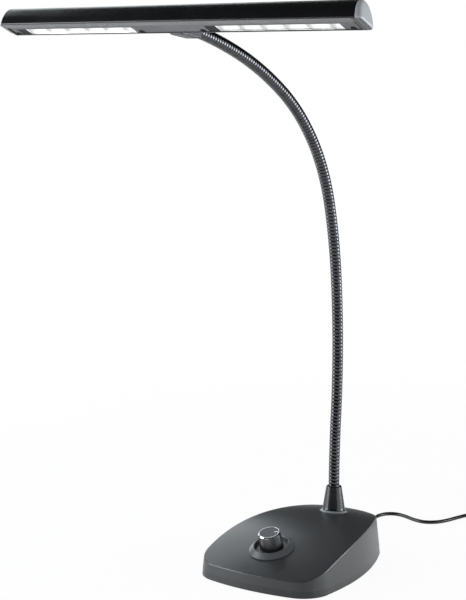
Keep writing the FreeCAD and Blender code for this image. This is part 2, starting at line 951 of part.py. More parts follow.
def board_corners():
    half_x = s.board_length / 2 - s.standoff_inset
    half_y = s.board_width / 2 - s.standoff_inset
    return [(a * half_x, s.board_y + b * half_y) for a in (-1, 1) for b in (-1, 1)]


def make_driver_board():
    under = ballast_top() + s.standoff_height
    top = under + s.board_thickness
    parts = [
        primitive(
            "Box", "driver_plate",
            (-s.board_length / 2, s.board_y - s.board_width / 2, under),
            Length=s.board_length, Width=s.board_width, Height=s.board_thickness,
        ),
        primitive(
            "Cylinder", "driver_coil", (-s.board_length / 5, s.board_y, top),
            Radius=s.coil_radius, Height=s.coil_height,
        ),
        primitive(
            "Box", "driver_chip", (s.board_length / 6, s.board_y - s.chip_width / 2, top),
            Length=s.chip_length, Width=s.chip_width, Height=s.chip_height,
        ),
    ]
    piece(fused("driver_board", parts), "driver_board")
    stands = []
    for index, (x, y) in enumerate(board_corners(), start=1):
        stands.append(primitive(
            "Cylinder", "board_standoff_%d" % index, (x, y, ballast_top()),
            Radius=s.standoff_radius, Height=s.standoff_height,
        ))
    grouped("board_standoffs", stands)


# ---- collar and neck ------------------------------------------------------------------------


def collar_top():
    return dome_height(s.collar_y) + s.collar_height


def make_collar():
    """A cone on a foot that follows the dome, bored for the neck's plain end."""
    foot = dome_height(s.collar_y) - s.seat_boss_radius
    body = new_body("collar_form", (0, 0, 0))
    sketch = new_sketch(body, "XY_Plane", "collar_foot", foot)
    draw_circle(sketch, 0, s.collar_y, s.collar_foot_radius)
    pad(body, sketch, 2 * s.seat_boss_radius)
    dome_cut(body, "collar_lip", s.collar_foot_lip)
    base_form = new_body("collar_cone", (0, s.collar_y, foot))
    profile = new_sketch(base_form, "XZ_Plane", "collar_profile")
    top = collar_top() - foot
    draw_polygon(profile, [
        (0, 0),
        (s.collar_base_radius, 0),
        (s.collar_base_radius, top - s.collar_height + s.collar_foot_lip),
        (s.collar_top_radius, top - s.collar_rim_height),
        (s.collar_top_radius - s.collar_rim_inset, top),
        (0, top),
    ])
    cone = base_form.newObject("PartDesign::Revolution", "collar_turned")
    cone.Profile = profile
    cone.ReferenceAxis = (profile, ["V_Axis"])
    cone.Angle = 360
    whole = fused("collar_whole", [body, base_form])
    below = new_body("collar_under")
    under = new_sketch(below, "XY_Plane", "collar_under_outline", foot - 1)
    draw_circle(under, 0, s.collar_y, s.collar_foot_radius + 1)
    pad(below, under, 3 * s.seat_boss_radius)
    dome_cut(below, "collar_seat", Size(0.0, "0"))
    bore = turned("collar_bore", [
        (0, -s.collar_height - s.seat_boss_radius),
        (s.stud_radius + s.fit_gap, -s.collar_height - s.seat_boss_radius),
        (s.stud_radius + s.fit_gap, -s.collar_grip),
        (s.neck_radius + s.fit_gap, -s.collar_grip),
        (s.neck_radius + s.fit_gap, 1),
        (0, 1),
    ], (0, s.collar_y, collar_top()))
    piece(cut("neck_collar", whole, fused("collar_tools", [below, bore])), "neck_collar")


def make_neck_fixing():
    """A tubular stud from the collar down through the dome, with a washer and a nut."""
    stud_top = collar_top() - s.collar_grip
    stud = turned("neck_stud", [
        (s.stud_bore, -s.stud_length),
        (s.stud_radius, -s.stud_length),
        (s.stud_radius, 0),
        (s.stud_bore, 0),
    ], (0, s.collar_y, stud_top))
    piece(stud, "neck_stud")
    seat = dome_height(s.collar_y) - s.cover_wall - s.seat_boss_depth
    washer = turned("neck_washer", [
        (s.stud_radius + s.fit_gap, -s.neck_washer_thickness),
        (s.neck_washer_radius, -s.neck_washer_thickness),
        (s.neck_washer_radius, 0),
        (s.stud_radius + s.fit_gap, 0),
    ], (0, s.collar_y, seat))
    piece(washer, "neck_washer")
    block = primitive(
        "Prism", "neck_nut_block", Circumradius=s.neck_nut_radius, Height=s.neck_nut_height,
    )
    hole = primitive(
        "Cylinder", "neck_nut_hole", Radius=s.stud_radius + s.fit_gap, Height=s.neck_nut_height,
    )
    nut = cut("neck_nut", block, hole)
    put(nut, (0, s.collar_y, seat - s.neck_washer_thickness - s.neck_nut_height))
    piece(nut, "neck_nut")


def neck_stations():
    """Lower end and lean of each neck segment, then of the neck's upper end."""
    y = s.collar_y
    z = collar_top()
    lean = s.neck_start_lean
    stations = [(y, z, lean)]
    for turn in turns:
        bend = s.segment_length / (turn * (math.pi / 180))
        after = lean + turn
        y = y + bend * (cosine(after) - cosine(lean))
        z = z + bend * (sine(after) - sine(lean))
        lean = after
        stations.append((y, z, lean))
    return stations


def bent_rod(name, turn, radius):
    """A rod along the arc of one segment, from the origin up Z and towards -Y."""
    side = 1 if turn.number > 0 else -1
    bend = side * s.segment_length / (turn * (math.pi / 180))
    rod = primitive(
        "Torus", name, Radius1=bend, Radius2=radius, Angle3=side * turn,
    )
    standing = Rotation(Vector(1, 1, 1), 120)
    if side < 0:
        standing = Rotation(Vector(0, 0, 1), 180).multiply(standing)
    rod.Placement = Placement(Vector(0, 0, 0), standing)
    bind(rod, "Placement.Base.y", -side * bend)
    return rod


def segment_end(turn):
    """Upper end of a segment in its own frame."""
    bend = s.segment_length / (turn * (math.pi / 180))
    return (0, bend * (cosine(turn) - 1), bend * sine(turn))


def make_segment(number, turn, station, last):
    """One neck segment: a bent tube with a cup below and a ball above."""
    name = "neck_segment_%d" % number
    end = segment_end(turn)
    solids = [bent_rod(name + "_rod", turn, s.neck_radius)]
    holes = [bent_rod(name + "_bore", turn, s.neck_bore)]
    if number == 1:
        solids.append(primitive(
            "Cylinder", name + "_grip", (0, 0, -s.collar_grip),
            Radius=s.neck_radius, Height=s.collar_grip,
        ))
        holes.append(primitive(
            "Cylinder", name + "_low_bore", (0, 0, -s.collar_grip),
            Radius=s.neck_bore, Height=s.collar_grip,
        ))
    else:
        solids.append(primitive(
            "Cylinder", name + "_rim", (0, 0, -s.cup_overlap),
            Radius=s.neck_radius, Height=s.cup_overlap,
        ))
        holes.append(primitive(
            "Sphere", name + "_cup", Radius=s.ball_radius + s.ball_clearance,
        ))
    if last:
        solids.append(primitive(
            "Cylinder", name + "_grip", end, turn, Radius=s.neck_radius, Height=s.socket_grip,
        ))
        holes.append(primitive(
            "Cylinder", name + "_high_bore", end, turn, Radius=s.neck_bore, Height=s.socket_grip,
        ))
        whole = fused(name + "_whole", solids)
    else:
        below = (0, end[1] + sine(turn) * s.joint_relief, end[2] - cosine(turn) * s.joint_relief)
        relief = primitive(
            "Cylinder", name + "_relief", below, turn,
            Radius=2 * s.neck_radius, Height=2 * s.joint_relief,
        )
        shortened = cut(name + "_shortened", fused(name + "_outer", solids), relief)
        stalk = primitive(
            "Cylinder", name + "_stalk", below, turn,
            Radius=s.ball_neck_radius, Height=s.joint_relief,
        )
        ball = primitive("Sphere", name + "_ball", end, Radius=s.ball_radius)
        holes.append(primitive(
            "Cylinder", name + "_ball_bore", below, turn,
            Radius=s.neck_bore + 2 * s.fit_gap, Height=s.joint_relief + s.ball_radius,
        ))
        whole = fused(name + "_whole", [shortened, stalk, ball])
    segment = cut(name, whole, fused(name + "_holes", holes))
    y, z, lean = station
    put(segment, (0, y, z), lean)
    piece(segment, name)


# ---- head -----------------------------------------------------------------------------------


def head_place(v, u):
    """A point of the head's own frame: v to the rear along its underside, u up from it."""
    y, z, _ = neck_stations()[-1]
    origin_y = y - s.head_ahead
    origin_z = z + s.head_above
    lean = s.head_roll
    return (
        0,
        origin_y + cosine(lean) * v + sine(lean) * u,
        origin_z - sine(lean) * v + cosine(lean) * u,
    )


def head_body(name, x=0):
    place = head_place(Size(0.0, "0"), Size(0.0, "0"))
    return new_body(name, (x, place[1], place[2]), s.head_roll, (-1, 0, 0))


def add_path(sketch, parts):
    for part in parts:
        sketch.addGeometry(part)


def d_outline(inset, foot, corner):
    """The D section from its foot line up: two walls, a half ellipse, rounded lower corners."""
    half = s.head_width.number / 2 - inset
    shoulder = s.head_shoulder.number
    rise = s.head_height.number - shoulder - inset
    major = Vector(0, shoulder + rise, 0)
    minor = Vector(half, shoulder, 0)
    middle = Vector(0, shoulder, 0)
    ellipse = Part.Ellipse(major, minor, middle)
    arch = Part.ArcOfEllipse(ellipse, -math.pi / 2, math.pi / 2)
    low = foot + corner
    walls = [
        Part.LineSegment(Vector(half, low, 0), Vector(half, shoulder, 0)),
        arch,
        Part.LineSegment(Vector(-half, shoulder, 0), Vector(-half, low, 0)),
    ]
    if corner > 0:
        right = Part.Circle(Vector(half - corner, low, 0), Vector(0, 0, 1), corner)
        left = Part.Circle(Vector(corner - half, low, 0), Vector(0, 0, 1), corner)
        walls.append(Part.ArcOfCircle(right, -math.pi / 2, 0))
        walls.append(Part.ArcOfCircle(left, math.pi, 1.5 * math.pi))
    return walls, half - corner


def make_head_form():
    """The head's outer D as a solid, used to shape what meets it."""
    body = head_body("head_form")
    sketch = new_sketch(body, "YZ_Plane", "head_form_section", s.head_shift)
    walls, foot = d_outline(0, 0, s.head_edge_radius.number)
    add_path(sketch, walls + [Part.LineSegment(Vector(-foot, 0, 0), Vector(foot, 0, 0))])
    pad(body, sketch, 2 * s.head_half_length, middle=True)
    return body


def make_head_shell():
    """An extruded shell, open below between the front lip and the rear wall."""
    body = head_body("shell_form")
    sketch = new_sketch(body, "YZ_Plane", "shell_section", s.head_shift)
    outer, foot = d_outline(0, 0, s.head_edge_radius.number)
    wall = s.head_wall.number
    inner, half = d_outline(wall, wall, 0)
    lip = s.front_lip_width.number - s.head_width.number / 2
    corners = [(-foot, 0), (lip, 0), (lip, wall), (-half, wall)]
    add_path(sketch, outer + inner)
    for start, end in zip(corners, corners[1:]):
        sketch.addGeometry(Part.LineSegment(Vector(*start, 0), Vector(*end, 0)))
    sketch.addGeometry(Part.LineSegment(Vector(foot, 0, 0), Vector(half, 0, 0)))
    sketch.addGeometry(Part.LineSegment(Vector(half, 0, 0), Vector(half, wall, 0)))
    pad(body, sketch, 2 * s.head_half_length, middle=True)
    holes = []
    for side in (-1, 1):
        place = head_place(s.head_width / 2 - 2 * s.bolt_head_height, s.bolt_u)
        holes.append(primitive(
            "Cylinder", "shell_bolt_hole_%d" % (side + 2), (side * s.bolt_x, place[1], place[2]),
            90 + s.head_roll, (-1, 0, 0),
            Radius=s.bolt_radius + s.fit_gap, Height=2 * s.bolt_length,
        ))
    piece(cut("head_shell", body, fused("shell_holes", holes)), "head_shell")


def make_end_cap(label, side):
    """A domed cap with a plug that fits inside the shell."""
    start = s.head_shift + side * s.head_half_length
    body = head_body(label)
    sketch = new_sketch(body, "YZ_Plane", label + "_section", start)
    walls, foot = d_outline(0, 0, s.head_edge_radius.number)
    add_path(sketch, walls + [Part.LineSegment(Vector(-foot, 0, 0), Vector(foot, 0, 0))])
    plate = pad(body, sketch, s.cap_thickness, down=side < 0)
    doc.recompute()
    outside = start.number + side * s.cap_thickness.number
    edges = []
    for index, edge in enumerate(plate.Shape.Edges, start=1):
        local = edge.copy()
        if max(abs(vertex.X - outside) for vertex in local.Vertexes) < 1e-6:
            edges.append("Edge%d" % index)
    rounding = body.newObject("PartDesign::Fillet", label + "_rounding")
    rounding.Base = (plate, edges)
    bind(rounding, "Radius", s.cap_edge_radius)
    doc.recompute()
    plug = new_sketch(body, "YZ_Plane", label + "_plug", start)
    gap = s.head_wall.number + s.fit_gap.number
    inner, half = d_outline(gap, gap, 0)
    add_path(plug, inner + [Part.LineSegment(Vector(-half, gap, 0), Vector(half, gap, 0))])
    pad(body, plug, s.cap_plug_depth, down=side > 0)
    piece(body, label)


def panel_half_length():
    return s.head_half_length - s.cap_plug_depth - s.fit_gap


def panel_top():
    return s.head_wall + s.panel_thickness


def make_head_panel():
    """The strip that closes the shell from below, with two windows and four screw holes."""
    body = head_body("head_panel")
    sketch = new_sketch(body, "YZ_Plane", "panel_section", s.head_shift)
    front = s.front_lip_width - s.head_width / 2
    rear = s.head_width / 2 - s.head_wall - s.fit_gap
    draw_polygon(sketch, [
        (front + s.fit_gap, s.panel_recess),
        (rear, s.panel_recess),
        (rear, panel_top()),
        (front - s.panel_flange, panel_top()),
        (front - s.panel_flange, s.head_wall),
        (front + s.fit_gap, s.head_wall),
    ])
    pad(body, sketch, 2 * panel_half_length(), middle=True)
    windows = new_sketch(body, "XY_Plane", "panel_windows")
    for side in (-1, 1):
        draw_polygon(windows, [
            (side * s.window_start, s.window_front),
            (side * window_end(), s.window_front),
            (side * window_end(), s.window_rear),
            (side * s.window_start, s.window_rear),
        ])
    pocket(body, windows, 2 * panel_top(), up=True)
    holes = new_sketch(body, "XY_Plane", "panel_screw_holes")
    heads = new_sketch(body, "XY_Plane", "panel_head_holes")
    for x in panel_screw_places():
        draw_circle(holes, x, s.panel_screw_v, s.panel_screw_radius + s.screw_clearance)
        draw_circle(heads, x, s.panel_screw_v, s.panel_screw_head_radius + s.screw_clearance)
    pocket(body, holes, 2 * panel_top(), up=True)
    pocket(body, heads, panel_screw_seat(), up=True)
    piece(body, "head_panel")


def window_end():
    """Both windows end as far from the neck as the shorter, left side of the head allows."""
    return s.head_half_length - s.head_shift - s.window_margin


def outer_screw(side):
    """Distance of a panel's outer screw from the middle of the neck."""
    margin = s.right_screw_margin if side > 0 else s.left_screw_margin
    return s.head_half_length + side * s.head_shift - margin


def panel_screw_places():
    near = s.panel_screw_inner_x
    return [-outer_screw(-1), -near, near, outer_screw(1)]


def panel_screw_seat():
    return s.panel_recess + s.panel_screw_head_height + 0.1


def make_panel_screws():
    screws = []
    profile = screw_profile(
        s.panel_screw_head_radius, s.panel_screw_head_height,
        s.panel_screw_radius, s.panel_screw_length,
    )
    place = head_place(s.panel_screw_v, panel_screw_seat() - s.panel_screw_head_height)
    for index, x in enumerate(panel_screw_places(), start=1):
        screws.append(turned(
            "panel_screw_%d" % index, profile, (x, place[1], place[2]), s.head_roll, (-1, 0, 0),
        ))
    grouped("panel_screws", screws)


def span_box(name, side, near, far, front, rear, under, top):
    """A straight-sided block in the head's frame, from near to far along one side of X."""
    body = head_body(name)
    sketch = new_sketch(body, "XY_Plane", name + "_outline", under)
    draw_polygon(sketch, [
        (side * near, front),
        (side * far, front),
        (side * far, rear),
        (side * near, rear),
    ])
    pad(body, sketch, top - under)
    return body


def make_optics(word, side):
    """Lens, reflector carrier, LED board and LEDs of one window."""
    lens_top = panel_top() + s.lens_thickness
    lens_near = s.window_start - s.lens_margin
    lens_far = window_end() + s.lens_margin
    lens_front = s.window_front - s.lens_margin
    lens_rear = s.head_width / 2 - s.head_wall - 2 * s.fit_gap
    lens = span_box(
        "lens_" + word, side, lens_near, lens_far, lens_front, lens_rear, panel_top(), lens_top,
    )
    piece(lens, "lens_" + word)
    carrier_top = panel_top() + s.carrier_height
    name = "reflector_" + word
    carrier = head_body(name)
    section = new_sketch(carrier, "YZ_Plane", name + "_section", side * s.carrier_inner_x)
    draw_polygon(section, [
        (s.carrier_front, panel_top()),
        (lens_rear, panel_top()),
        (lens_rear, lens_top),
        (lens_rear - s.carrier_chamfer, carrier_top),
        (s.carrier_front, carrier_top),
    ])
    carrier_end = s.head_half_length + side * s.head_shift - s.cap_plug_depth - s.carrier_end_gap
    pad(carrier, section, carrier_end - s.carrier_inner_x, down=side < 0)
    seat = new_sketch(carrier, "XY_Plane", name + "_seat", panel_top())
    gap = s.fit_gap
    draw_polygon(seat, [
        (side * (lens_near - gap), lens_front - gap),
        (side * (lens_far + gap), lens_front - gap),
        (side * (lens_far + gap), lens_rear + gap),
        (side * (lens_near - gap), lens_rear + gap),
    ])
    pocket(carrier, seat, s.lens_thickness, up=True)
    cups = new_sketch(carrier, "XY_Plane", name + "_cups", lens_top)
    pitch = (window_end() - s.window_start) / led_count
    for index in range(led_count):
        low = s.window_start + index * pitch + s.cup_wall / 2
        high = s.window_start + (index + 1) * pitch - s.cup_wall / 2
        draw_polygon(cups, [
            (side * low, s.window_front),
            (side * high, s.window_front),
            (side * high, s.window_rear - s.cup_wall),
            (side * low, s.window_rear - s.cup_wall),
        ])
    pocket(carrier, cups, carrier_top - lens_top, draft=s.cup_draft, up=True)
    holes = new_sketch(carrier, "XY_Plane", name + "_screw_holes", panel_top())
    for x in (s.panel_screw_inner_x, outer_screw(side)):
        draw_circle(holes, side * x, s.panel_screw_v, s.panel_screw_radius + s.screw_clearance)
    pocket(carrier, holes, 2 * s.carrier_height, up=True)
    piece(carrier, name)
    board = span_box(
        "led_board_" + word, side, lens_near, lens_far, s.window_front - s.cup_wall,
        s.window_rear - s.cup_wall, carrier_top, carrier_top + s.led_board_thickness,
    )
    piece(board, "led_board_" + word)
    middle = (s.window_front + s.window_rear - s.cup_wall) / 2
    chips = []
    for index in range(led_count):
        centre = s.window_start + (index + 0.5) * pitch
        chips.append(span_box(
            "led_%s_%d" % (word, index + 1), side,
            centre - s.led_size / 2, centre + s.led_size / 2,
            middle - s.led_size / 2, middle + s.led_size / 2,
            carrier_top - s.led_height, carrier_top,
        ))
    grouped("leds_" + word, chips)


def make_head_lead():
    """The lead that joins the two LED boards, lying on both."""
    v = (s.window_front + s.window_rear) / 2
    u = panel_top() + s.carrier_height + s.led_board_thickness + s.lead_radius
    place = head_place(v, u)
    reach = s.window_start - s.lens_margin + s.lead_overlap
    lead = primitive(
        "Cylinder", "head_lead", (-reach, place[1], place[2]), 90, (0, 1, 0),
        Radius=s.lead_radius, Height=2 * reach,
    )
    piece(lead, "head_lead")


# ---- neck socket ----------------------------------------------------------------------------


def make_socket(head_form):
    """The bracket behind the head that grips the neck's upper end."""
    y, z, lean = neck_stations()[-1]
    along_y = -sine(lean)
    along_z = cosine(lean)
    up_y = cosine(lean)
    up_z = sine(lean)
    under = s.neck_radius + s.socket_under_wall
    over = s.neck_radius + s.socket_over_wall
    grip = s.socket_grip
    foot = head_place(s.head_width / 2, Size(0.0, "0"))
    crown = head_place(s.head_width / 2 - s.head_wall, s.head_height / 2)
    body = new_body("socket_form")
    sketch = new_sketch(body, "YZ_Plane", "socket_side")
    draw_polygon(sketch, [
        (foot[1] - s.socket_foot_length / 2, foot[2] + s.socket_foot_length / 4),
        (foot[1] + s.socket_foot_length / 2, foot[2] - s.socket_under_wall),
        (y - s.socket_foot_length - up_y * under, z - up_z * under),
        (y - up_y * under, z - up_z * under),
        (y + up_y * over, z + up_z * over),
        (y + up_y * over + along_y * grip, z + up_z * over + along_z * grip),
        (crown[1], crown[2]),
    ])
    block = pad(body, sketch, 2 * s.socket_half_width, middle=True)
    doc.recompute()
    edges = []
    for index, edge in enumerate(block.Shape.Edges, start=1):
        xs = [vertex.X for vertex in edge.Vertexes]
        outer = min(abs(x) for x in xs) > s.socket_half_width.number - 1e-6
        behind = max(vertex.Y for vertex in edge.Vertexes) > foot[1].number + 2
        if outer and xs[0] * xs[-1] > 0 and behind:
            edges.append("Edge%d" % index)
    rounding = body.newObject("PartDesign::Fillet", "socket_rounding")
    rounding.Base = (block, edges)
    bind(rounding, "Radius", s.socket_edge_fillet)
    bore = primitive(
        "Cylinder", "socket_bore", (0, y, z), lean,
        Radius=s.neck_radius + s.fit_gap, Height=s.socket_grip + s.fit_gap,
    )
    spill = primitive(
        "Cylinder", "socket_mouth", (0, y - 4 * along_y, z - 4 * along_z), lean,
        Radius=s.neck_radius + s.fit_gap, Height=4,
    )
    grub_hole = primitive(
        "Cylinder", "socket_grub_hole", grub_place(), 90, (0, 1, 0),
        Radius=s.grub_radius + s.fit_gap, Height=s.socket_half_width,
    )
    tools = [head_form, bore, spill, grub_hole]
    for side in (-1, 1):
        place = head_place(bolt_seat(), s.bolt_u)
        tools.append(primitive(
            "Cylinder", "socket_bolt_hole_%d" % (side + 2),
            (side * s.bolt_x, place[1], place[2]), 90 + s.head_roll, (-1, 0, 0),
            Radius=s.bolt_radius + s.fit_gap, Height=s.bolt_length + s.fit_gap,
        ))
    piece(cut("neck_socket", body, fused("socket_tools", tools)), "neck_socket")


def grub_place():
    """On the neck's surface, beside its end in the socket."""
    y, z, lean = neck_stations()[-1]
    return (
        s.neck_radius,
        y - sine(lean) * s.grub_depth,
        z + cosine(lean) * s.grub_depth,
    )


def bolt_seat():
    """How far back a bolt head reaches before its upper edge meets the shell's inner wall."""
    half = s.head_width / 2 - s.head_wall
    rise = s.head_height - s.head_shoulder - s.head_wall
    share = (s.bolt_u + s.bolt_head_radius - s.head_shoulder) / rise
    return half * root(1 - share * share) - s.fit_gap


def make_socket_screws():
    grub = primitive(
        "Cylinder", "socket_grub", grub_place(), 90, (0, 1, 0),
        Radius=s.grub_radius, Height=s.grub_length,
    )
    piece(grub, "socket_grub")
    bolts = []
    profile = screw_profile(s.bolt_head_radius, s.bolt_head_height, s.bolt_radius, s.bolt_length)
    place = head_place(bolt_seat() - s.bolt_head_height, s.bolt_u)
    for side in (-1, 1):
        bolts.append(turned(
            "socket_bolt_%d" % (side + 2), profile, (side * s.bolt_x, place[1], place[2]),
            90 + s.head_roll, (-1, 0, 0),
        ))
    grouped("socket_bolts", bolts)


# ---- cord -----------------------------------------------------------------------------------


def relief_start():
    """Where the relief stands clear of the rear wall."""
    return s.rear_corner_reach + s.rear_bulge - wall_inset(s.cord_exit_height)


def make_relief():
    """A tapered grommet through the rear wall, with a flange behind the wall."""
    root_radius = s.relief_root_radius
    inner = -s.relief_inside
    form = turned("relief_form", [
        (0, inner),
        (s.relief_flange_radius, inner),
        (s.relief_flange_radius, inner + s.relief_flange_width),
        (root_radius, inner + s.relief_flange_width),
        (root_radius, s.relief_flange_width),
        (s.relief_tip_radius, s.relief_length),
        (0, s.relief_length),
    ], (s.cord_exit_x, relief_start(), s.cord_exit_height), -90)
    piece(form, "strain_relief")


def smooth_path(points, share=0.45):
    """Straight runs joined by tangent arcs, each as large as its two runs allow."""
    spots = [Vector(*point) for point in points]
    edges = []
    radii = []
    here = spots[0]
    for before, corner, after in zip(spots, spots[1:], spots[2:]):
        into = (corner - before).normalize()
        out = (after - corner).normalize()
        turn = math.acos(max(-1.0, min(1.0, into.dot(out))))
        setback = share * min((corner - before).Length, (after - corner).Length)
        radius = setback / math.tan(turn / 2)
        radii.append(radius)
        start = corner - into * setback
        end = corner + out * setback
        bisector = (out - into).normalize()
        middle = corner + bisector * (radius / math.cos(turn / 2) - radius)
        edges.append(Part.LineSegment(here, start).toShape())
        edges.append(Part.Arc(start, middle, end).toShape())
        here = end
    edges.append(Part.LineSegment(here, spots[-1]).toShape())
    return Part.Wire(edges), radii


def cord_tube(label, points):
    """A round tube along a path, as a plain solid; its radii and volume are printed."""
    radius = s.cord_diameter.number / 2
    path, radii = smooth_path(points)
    start = Vector(*points[0])
    direction = Vector(*points[1]) - start
    profile = Part.Wire([Part.Circle(start, direction, radius).toShape()])
    tube = path.makePipeShell([profile], True, False)
    expected = math.pi * radius ** 2 * path.Length
    print(label, "radii", [round(value, 1) for value in radii])
    print(label, "length", round(path.Length, 1), "volume ratio", round(tube.Volume / expected, 4))
    thing = doc.addObject("Part::Feature", label)
    thing.Shape = tube
    thing.Placement = Placement()
    piece(thing, label)


def coil_outer_turn():
    return s.coil_inner_turn + s.cord_diameter * (s.coil_turns_across - 1)


def make_coil():
    """The outer shape of the put-away turns, lying on the floor."""
    half = s.cord_diameter / 2
    coil = turned("cord_coil", [
        (s.coil_inner_turn - half, 0),
        (coil_outer_turn() + half, 0),
        (coil_outer_turn() + half, s.cord_diameter * s.coil_layers),
        (s.coil_inner_turn - half, s.cord_diameter * s.coil_layers),
    ], (s.coil_x, s.coil_y, 0))
    piece(coil, "cord_coil")


def make_adapter():
    """A plug-in adapter with two round pins, lying beside the coil."""
    centre_x = s.coil_x - coil_outer_turn()
    front = s.coil_y + s.tail_length + s.adapter_relief_length
    level = s.cord_diameter * (s.coil_layers - 0.5)
    body = new_body("adapter_case", (centre_x, front, 0))
    sketch = new_sketch(body, "XY_Plane", "adapter_outline")
    half = s.adapter_width / 2
    draw_polygon(sketch, [
        (-half, 0), (half, 0), (half, s.adapter_length), (-half, s.adapter_length),
    ])
    block = pad(body, sketch, s.adapter_height)
    doc.recompute()
    rounding = body.newObject("PartDesign::Fillet", "adapter_rounding")
    rounding.Base = (block, ["Edge%d" % (n + 1) for n in range(len(block.Shape.Edges))])
    bind(rounding, "Radius", s.adapter_fillet)
    piece(body, "adapter_case")
    relief = turned("adapter_relief", [
        (0, -s.adapter_relief_length),
        (s.cord_diameter / 2 + s.relief_flange_width / 2, -s.adapter_relief_length),
        (s.adapter_relief_radius, 0),
        (0, 0),
    ], (centre_x, front, level), -90)
    piece(relief, "adapter_relief")
    pins = []
    for side in (-1, 1):
        pins.append(primitive(
            "Cylinder", "adapter_pin_%d" % (side + 2),
            (
                centre_x + side * s.pin_spacing / 2,
                front + s.adapter_length,
                s.adapter_height / 2,
            ),
            -90, Radius=s.pin_radius, Height=s.pin_length,
        ))
    grouped("adapter_pins", pins)


def make_cord():
    exit_y = relief_start() + s.relief_length
    first = (s.cord_exit_x.number, exit_y.number, s.cord_exit_height.number)
    entry = (
        (s.coil_x - coil_outer_turn()).number,
        s.coil_y.number,
        s.cord_diameter.number / 2,
    )
    points = [first] + cord_route + [entry]
    cord_tube("power_cord", points)
    level = s.cord_diameter * (s.coil_layers - 0.5)
    tail = primitive(
        "Cylinder", "cord_tail", (s.coil_x - coil_outer_turn(), s.coil_y, level), -90,
        Radius=s.cord_diameter / 2, Height=s.tail_length,
    )
    piece(tail, "cord_tail")
    make_coil()
    make_adapter()


# ---- the lamp -------------------------------------------------------------------------------

make_base_cover()
make_base_tray()
make_feet()
make_base_screws()
make_ballast()
make_bezel()
make_knob()
make_pointer()
make_potentiometer()
make_driver_board()
make_collar()
make_neck_fixing()
stations = neck_stations()
for position, segment_turn in enumerate(turns):
    make_segment(position + 1, segment_turn, stations[position], position + 1 == len(turns))
make_head_shell()
make_end_cap("end_cap_left", -1)
make_end_cap("end_cap_right", 1)
make_head_panel()
make_panel_screws()
make_optics("left", -1)
make_optics("right", 1)
make_head_lead()
make_socket(make_head_form())
make_socket_screws()
make_relief()
make_cord()
doc.recompute()

for thing in doc.Objects:
    if "Invalid" in thing.State or "Error" in thing.State:
        raise RuntimeError("%s failed: %s" % (thing.Name, thing.State))
for thing in pieces:
    if thing.Shape.isNull() or not thing.Shape.isValid():
        raise RuntimeError("%s has no valid shape" % thing.Label)
os.makedirs("parts", exist_ok=True)
for thing in pieces:
    thing.Shape.exportStep("parts/%s.step" % thing.Label)
    print(thing.Label, len(thing.Shape.Solids), round(thing.Shape.Volume, 1))
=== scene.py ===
import math

import bmesh
import bpy
import numpy as np
from mathutils import Matrix, Vector


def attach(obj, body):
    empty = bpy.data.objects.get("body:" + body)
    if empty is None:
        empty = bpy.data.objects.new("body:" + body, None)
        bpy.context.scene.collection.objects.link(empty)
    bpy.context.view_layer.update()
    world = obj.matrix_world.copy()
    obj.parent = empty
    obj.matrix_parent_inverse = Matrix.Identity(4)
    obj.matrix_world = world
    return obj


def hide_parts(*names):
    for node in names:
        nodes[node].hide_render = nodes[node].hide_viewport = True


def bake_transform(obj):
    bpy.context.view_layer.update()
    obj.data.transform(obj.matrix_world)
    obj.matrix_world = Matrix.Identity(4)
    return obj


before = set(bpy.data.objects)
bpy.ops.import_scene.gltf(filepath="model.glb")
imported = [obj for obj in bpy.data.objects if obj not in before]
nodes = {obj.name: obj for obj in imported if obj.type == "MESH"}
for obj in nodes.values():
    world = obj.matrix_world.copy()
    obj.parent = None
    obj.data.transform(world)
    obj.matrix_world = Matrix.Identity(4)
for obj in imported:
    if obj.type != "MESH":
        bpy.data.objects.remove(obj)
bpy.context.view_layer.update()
print("frame loaded:", len(nodes), "nodes")

mm = 0.001

camera = {
    "place": (0.74548, -1.17162, 0.44218), "pitch": 81.718, "turn": 35.07,
    "lens": 96.0, "sensor": 36.0, "near": 0.05, "far": 60.0,
}


def makeCamera():
    data = bpy.data.cameras.new("viewCamera")
    data.lens = camera["lens"]
    data.sensor_width = camera["sensor"]
    data.clip_start = camera["near"]
    data.clip_end = camera["far"]
    item = bpy.data.objects.new("viewCamera", data)
    item.location = camera["place"]
    item.rotation_euler = (math.radians(camera["pitch"]), 0.0, math.radians(camera["turn"]))
    bpy.context.scene.collection.objects.link(item)
    bpy.context.scene.camera = item


makeCamera()
print("camera set")


def linearColour(code):
    # sRGB to linear: c / 12.92 up to 0.04045, ((c + 0.055) / 1.055) ^ 2.4 above
    parts = [int(code[k : k + 2], 16) / 255 for k in (0, 2, 4)]
    turned = [c / 12.92 if c <= 0.04045 else ((c + 0.055) / 1.055) ** 2.4 for c in parts]
    return (*turned, 1.0)


def addNode(tree, kind, settings=None, links=None):
    # settings are properties of the node or values of its inputs; links join its inputs
    node = tree.nodes.new(kind)
    for key, value in (settings or {}).items():
        if isinstance(key, str) and hasattr(node, key):
            setattr(node, key, value)
        else:
            node.inputs[key].default_value = value
    for key, socket in (links or {}).items():
        tree.links.new(socket, node.inputs[key])
    return node


def startMaterial(name, shader):
    material = bpy.data.materials.new(name)
    material.use_nodes = True
    tree = material.node_tree
    tree.nodes.clear()
    surface = addNode(tree, "ShaderNodeBsdfPrincipled", shader)
    output = addNode(tree, "ShaderNodeOutputMaterial")
    tree.links.new(surface.outputs["BSDF"], output.inputs["Surface"])
    return material, tree, surface


def grainScale(size):
    # noise cells per metre for a grain of this size in millimetres
    return 1.0 / (size * mm)


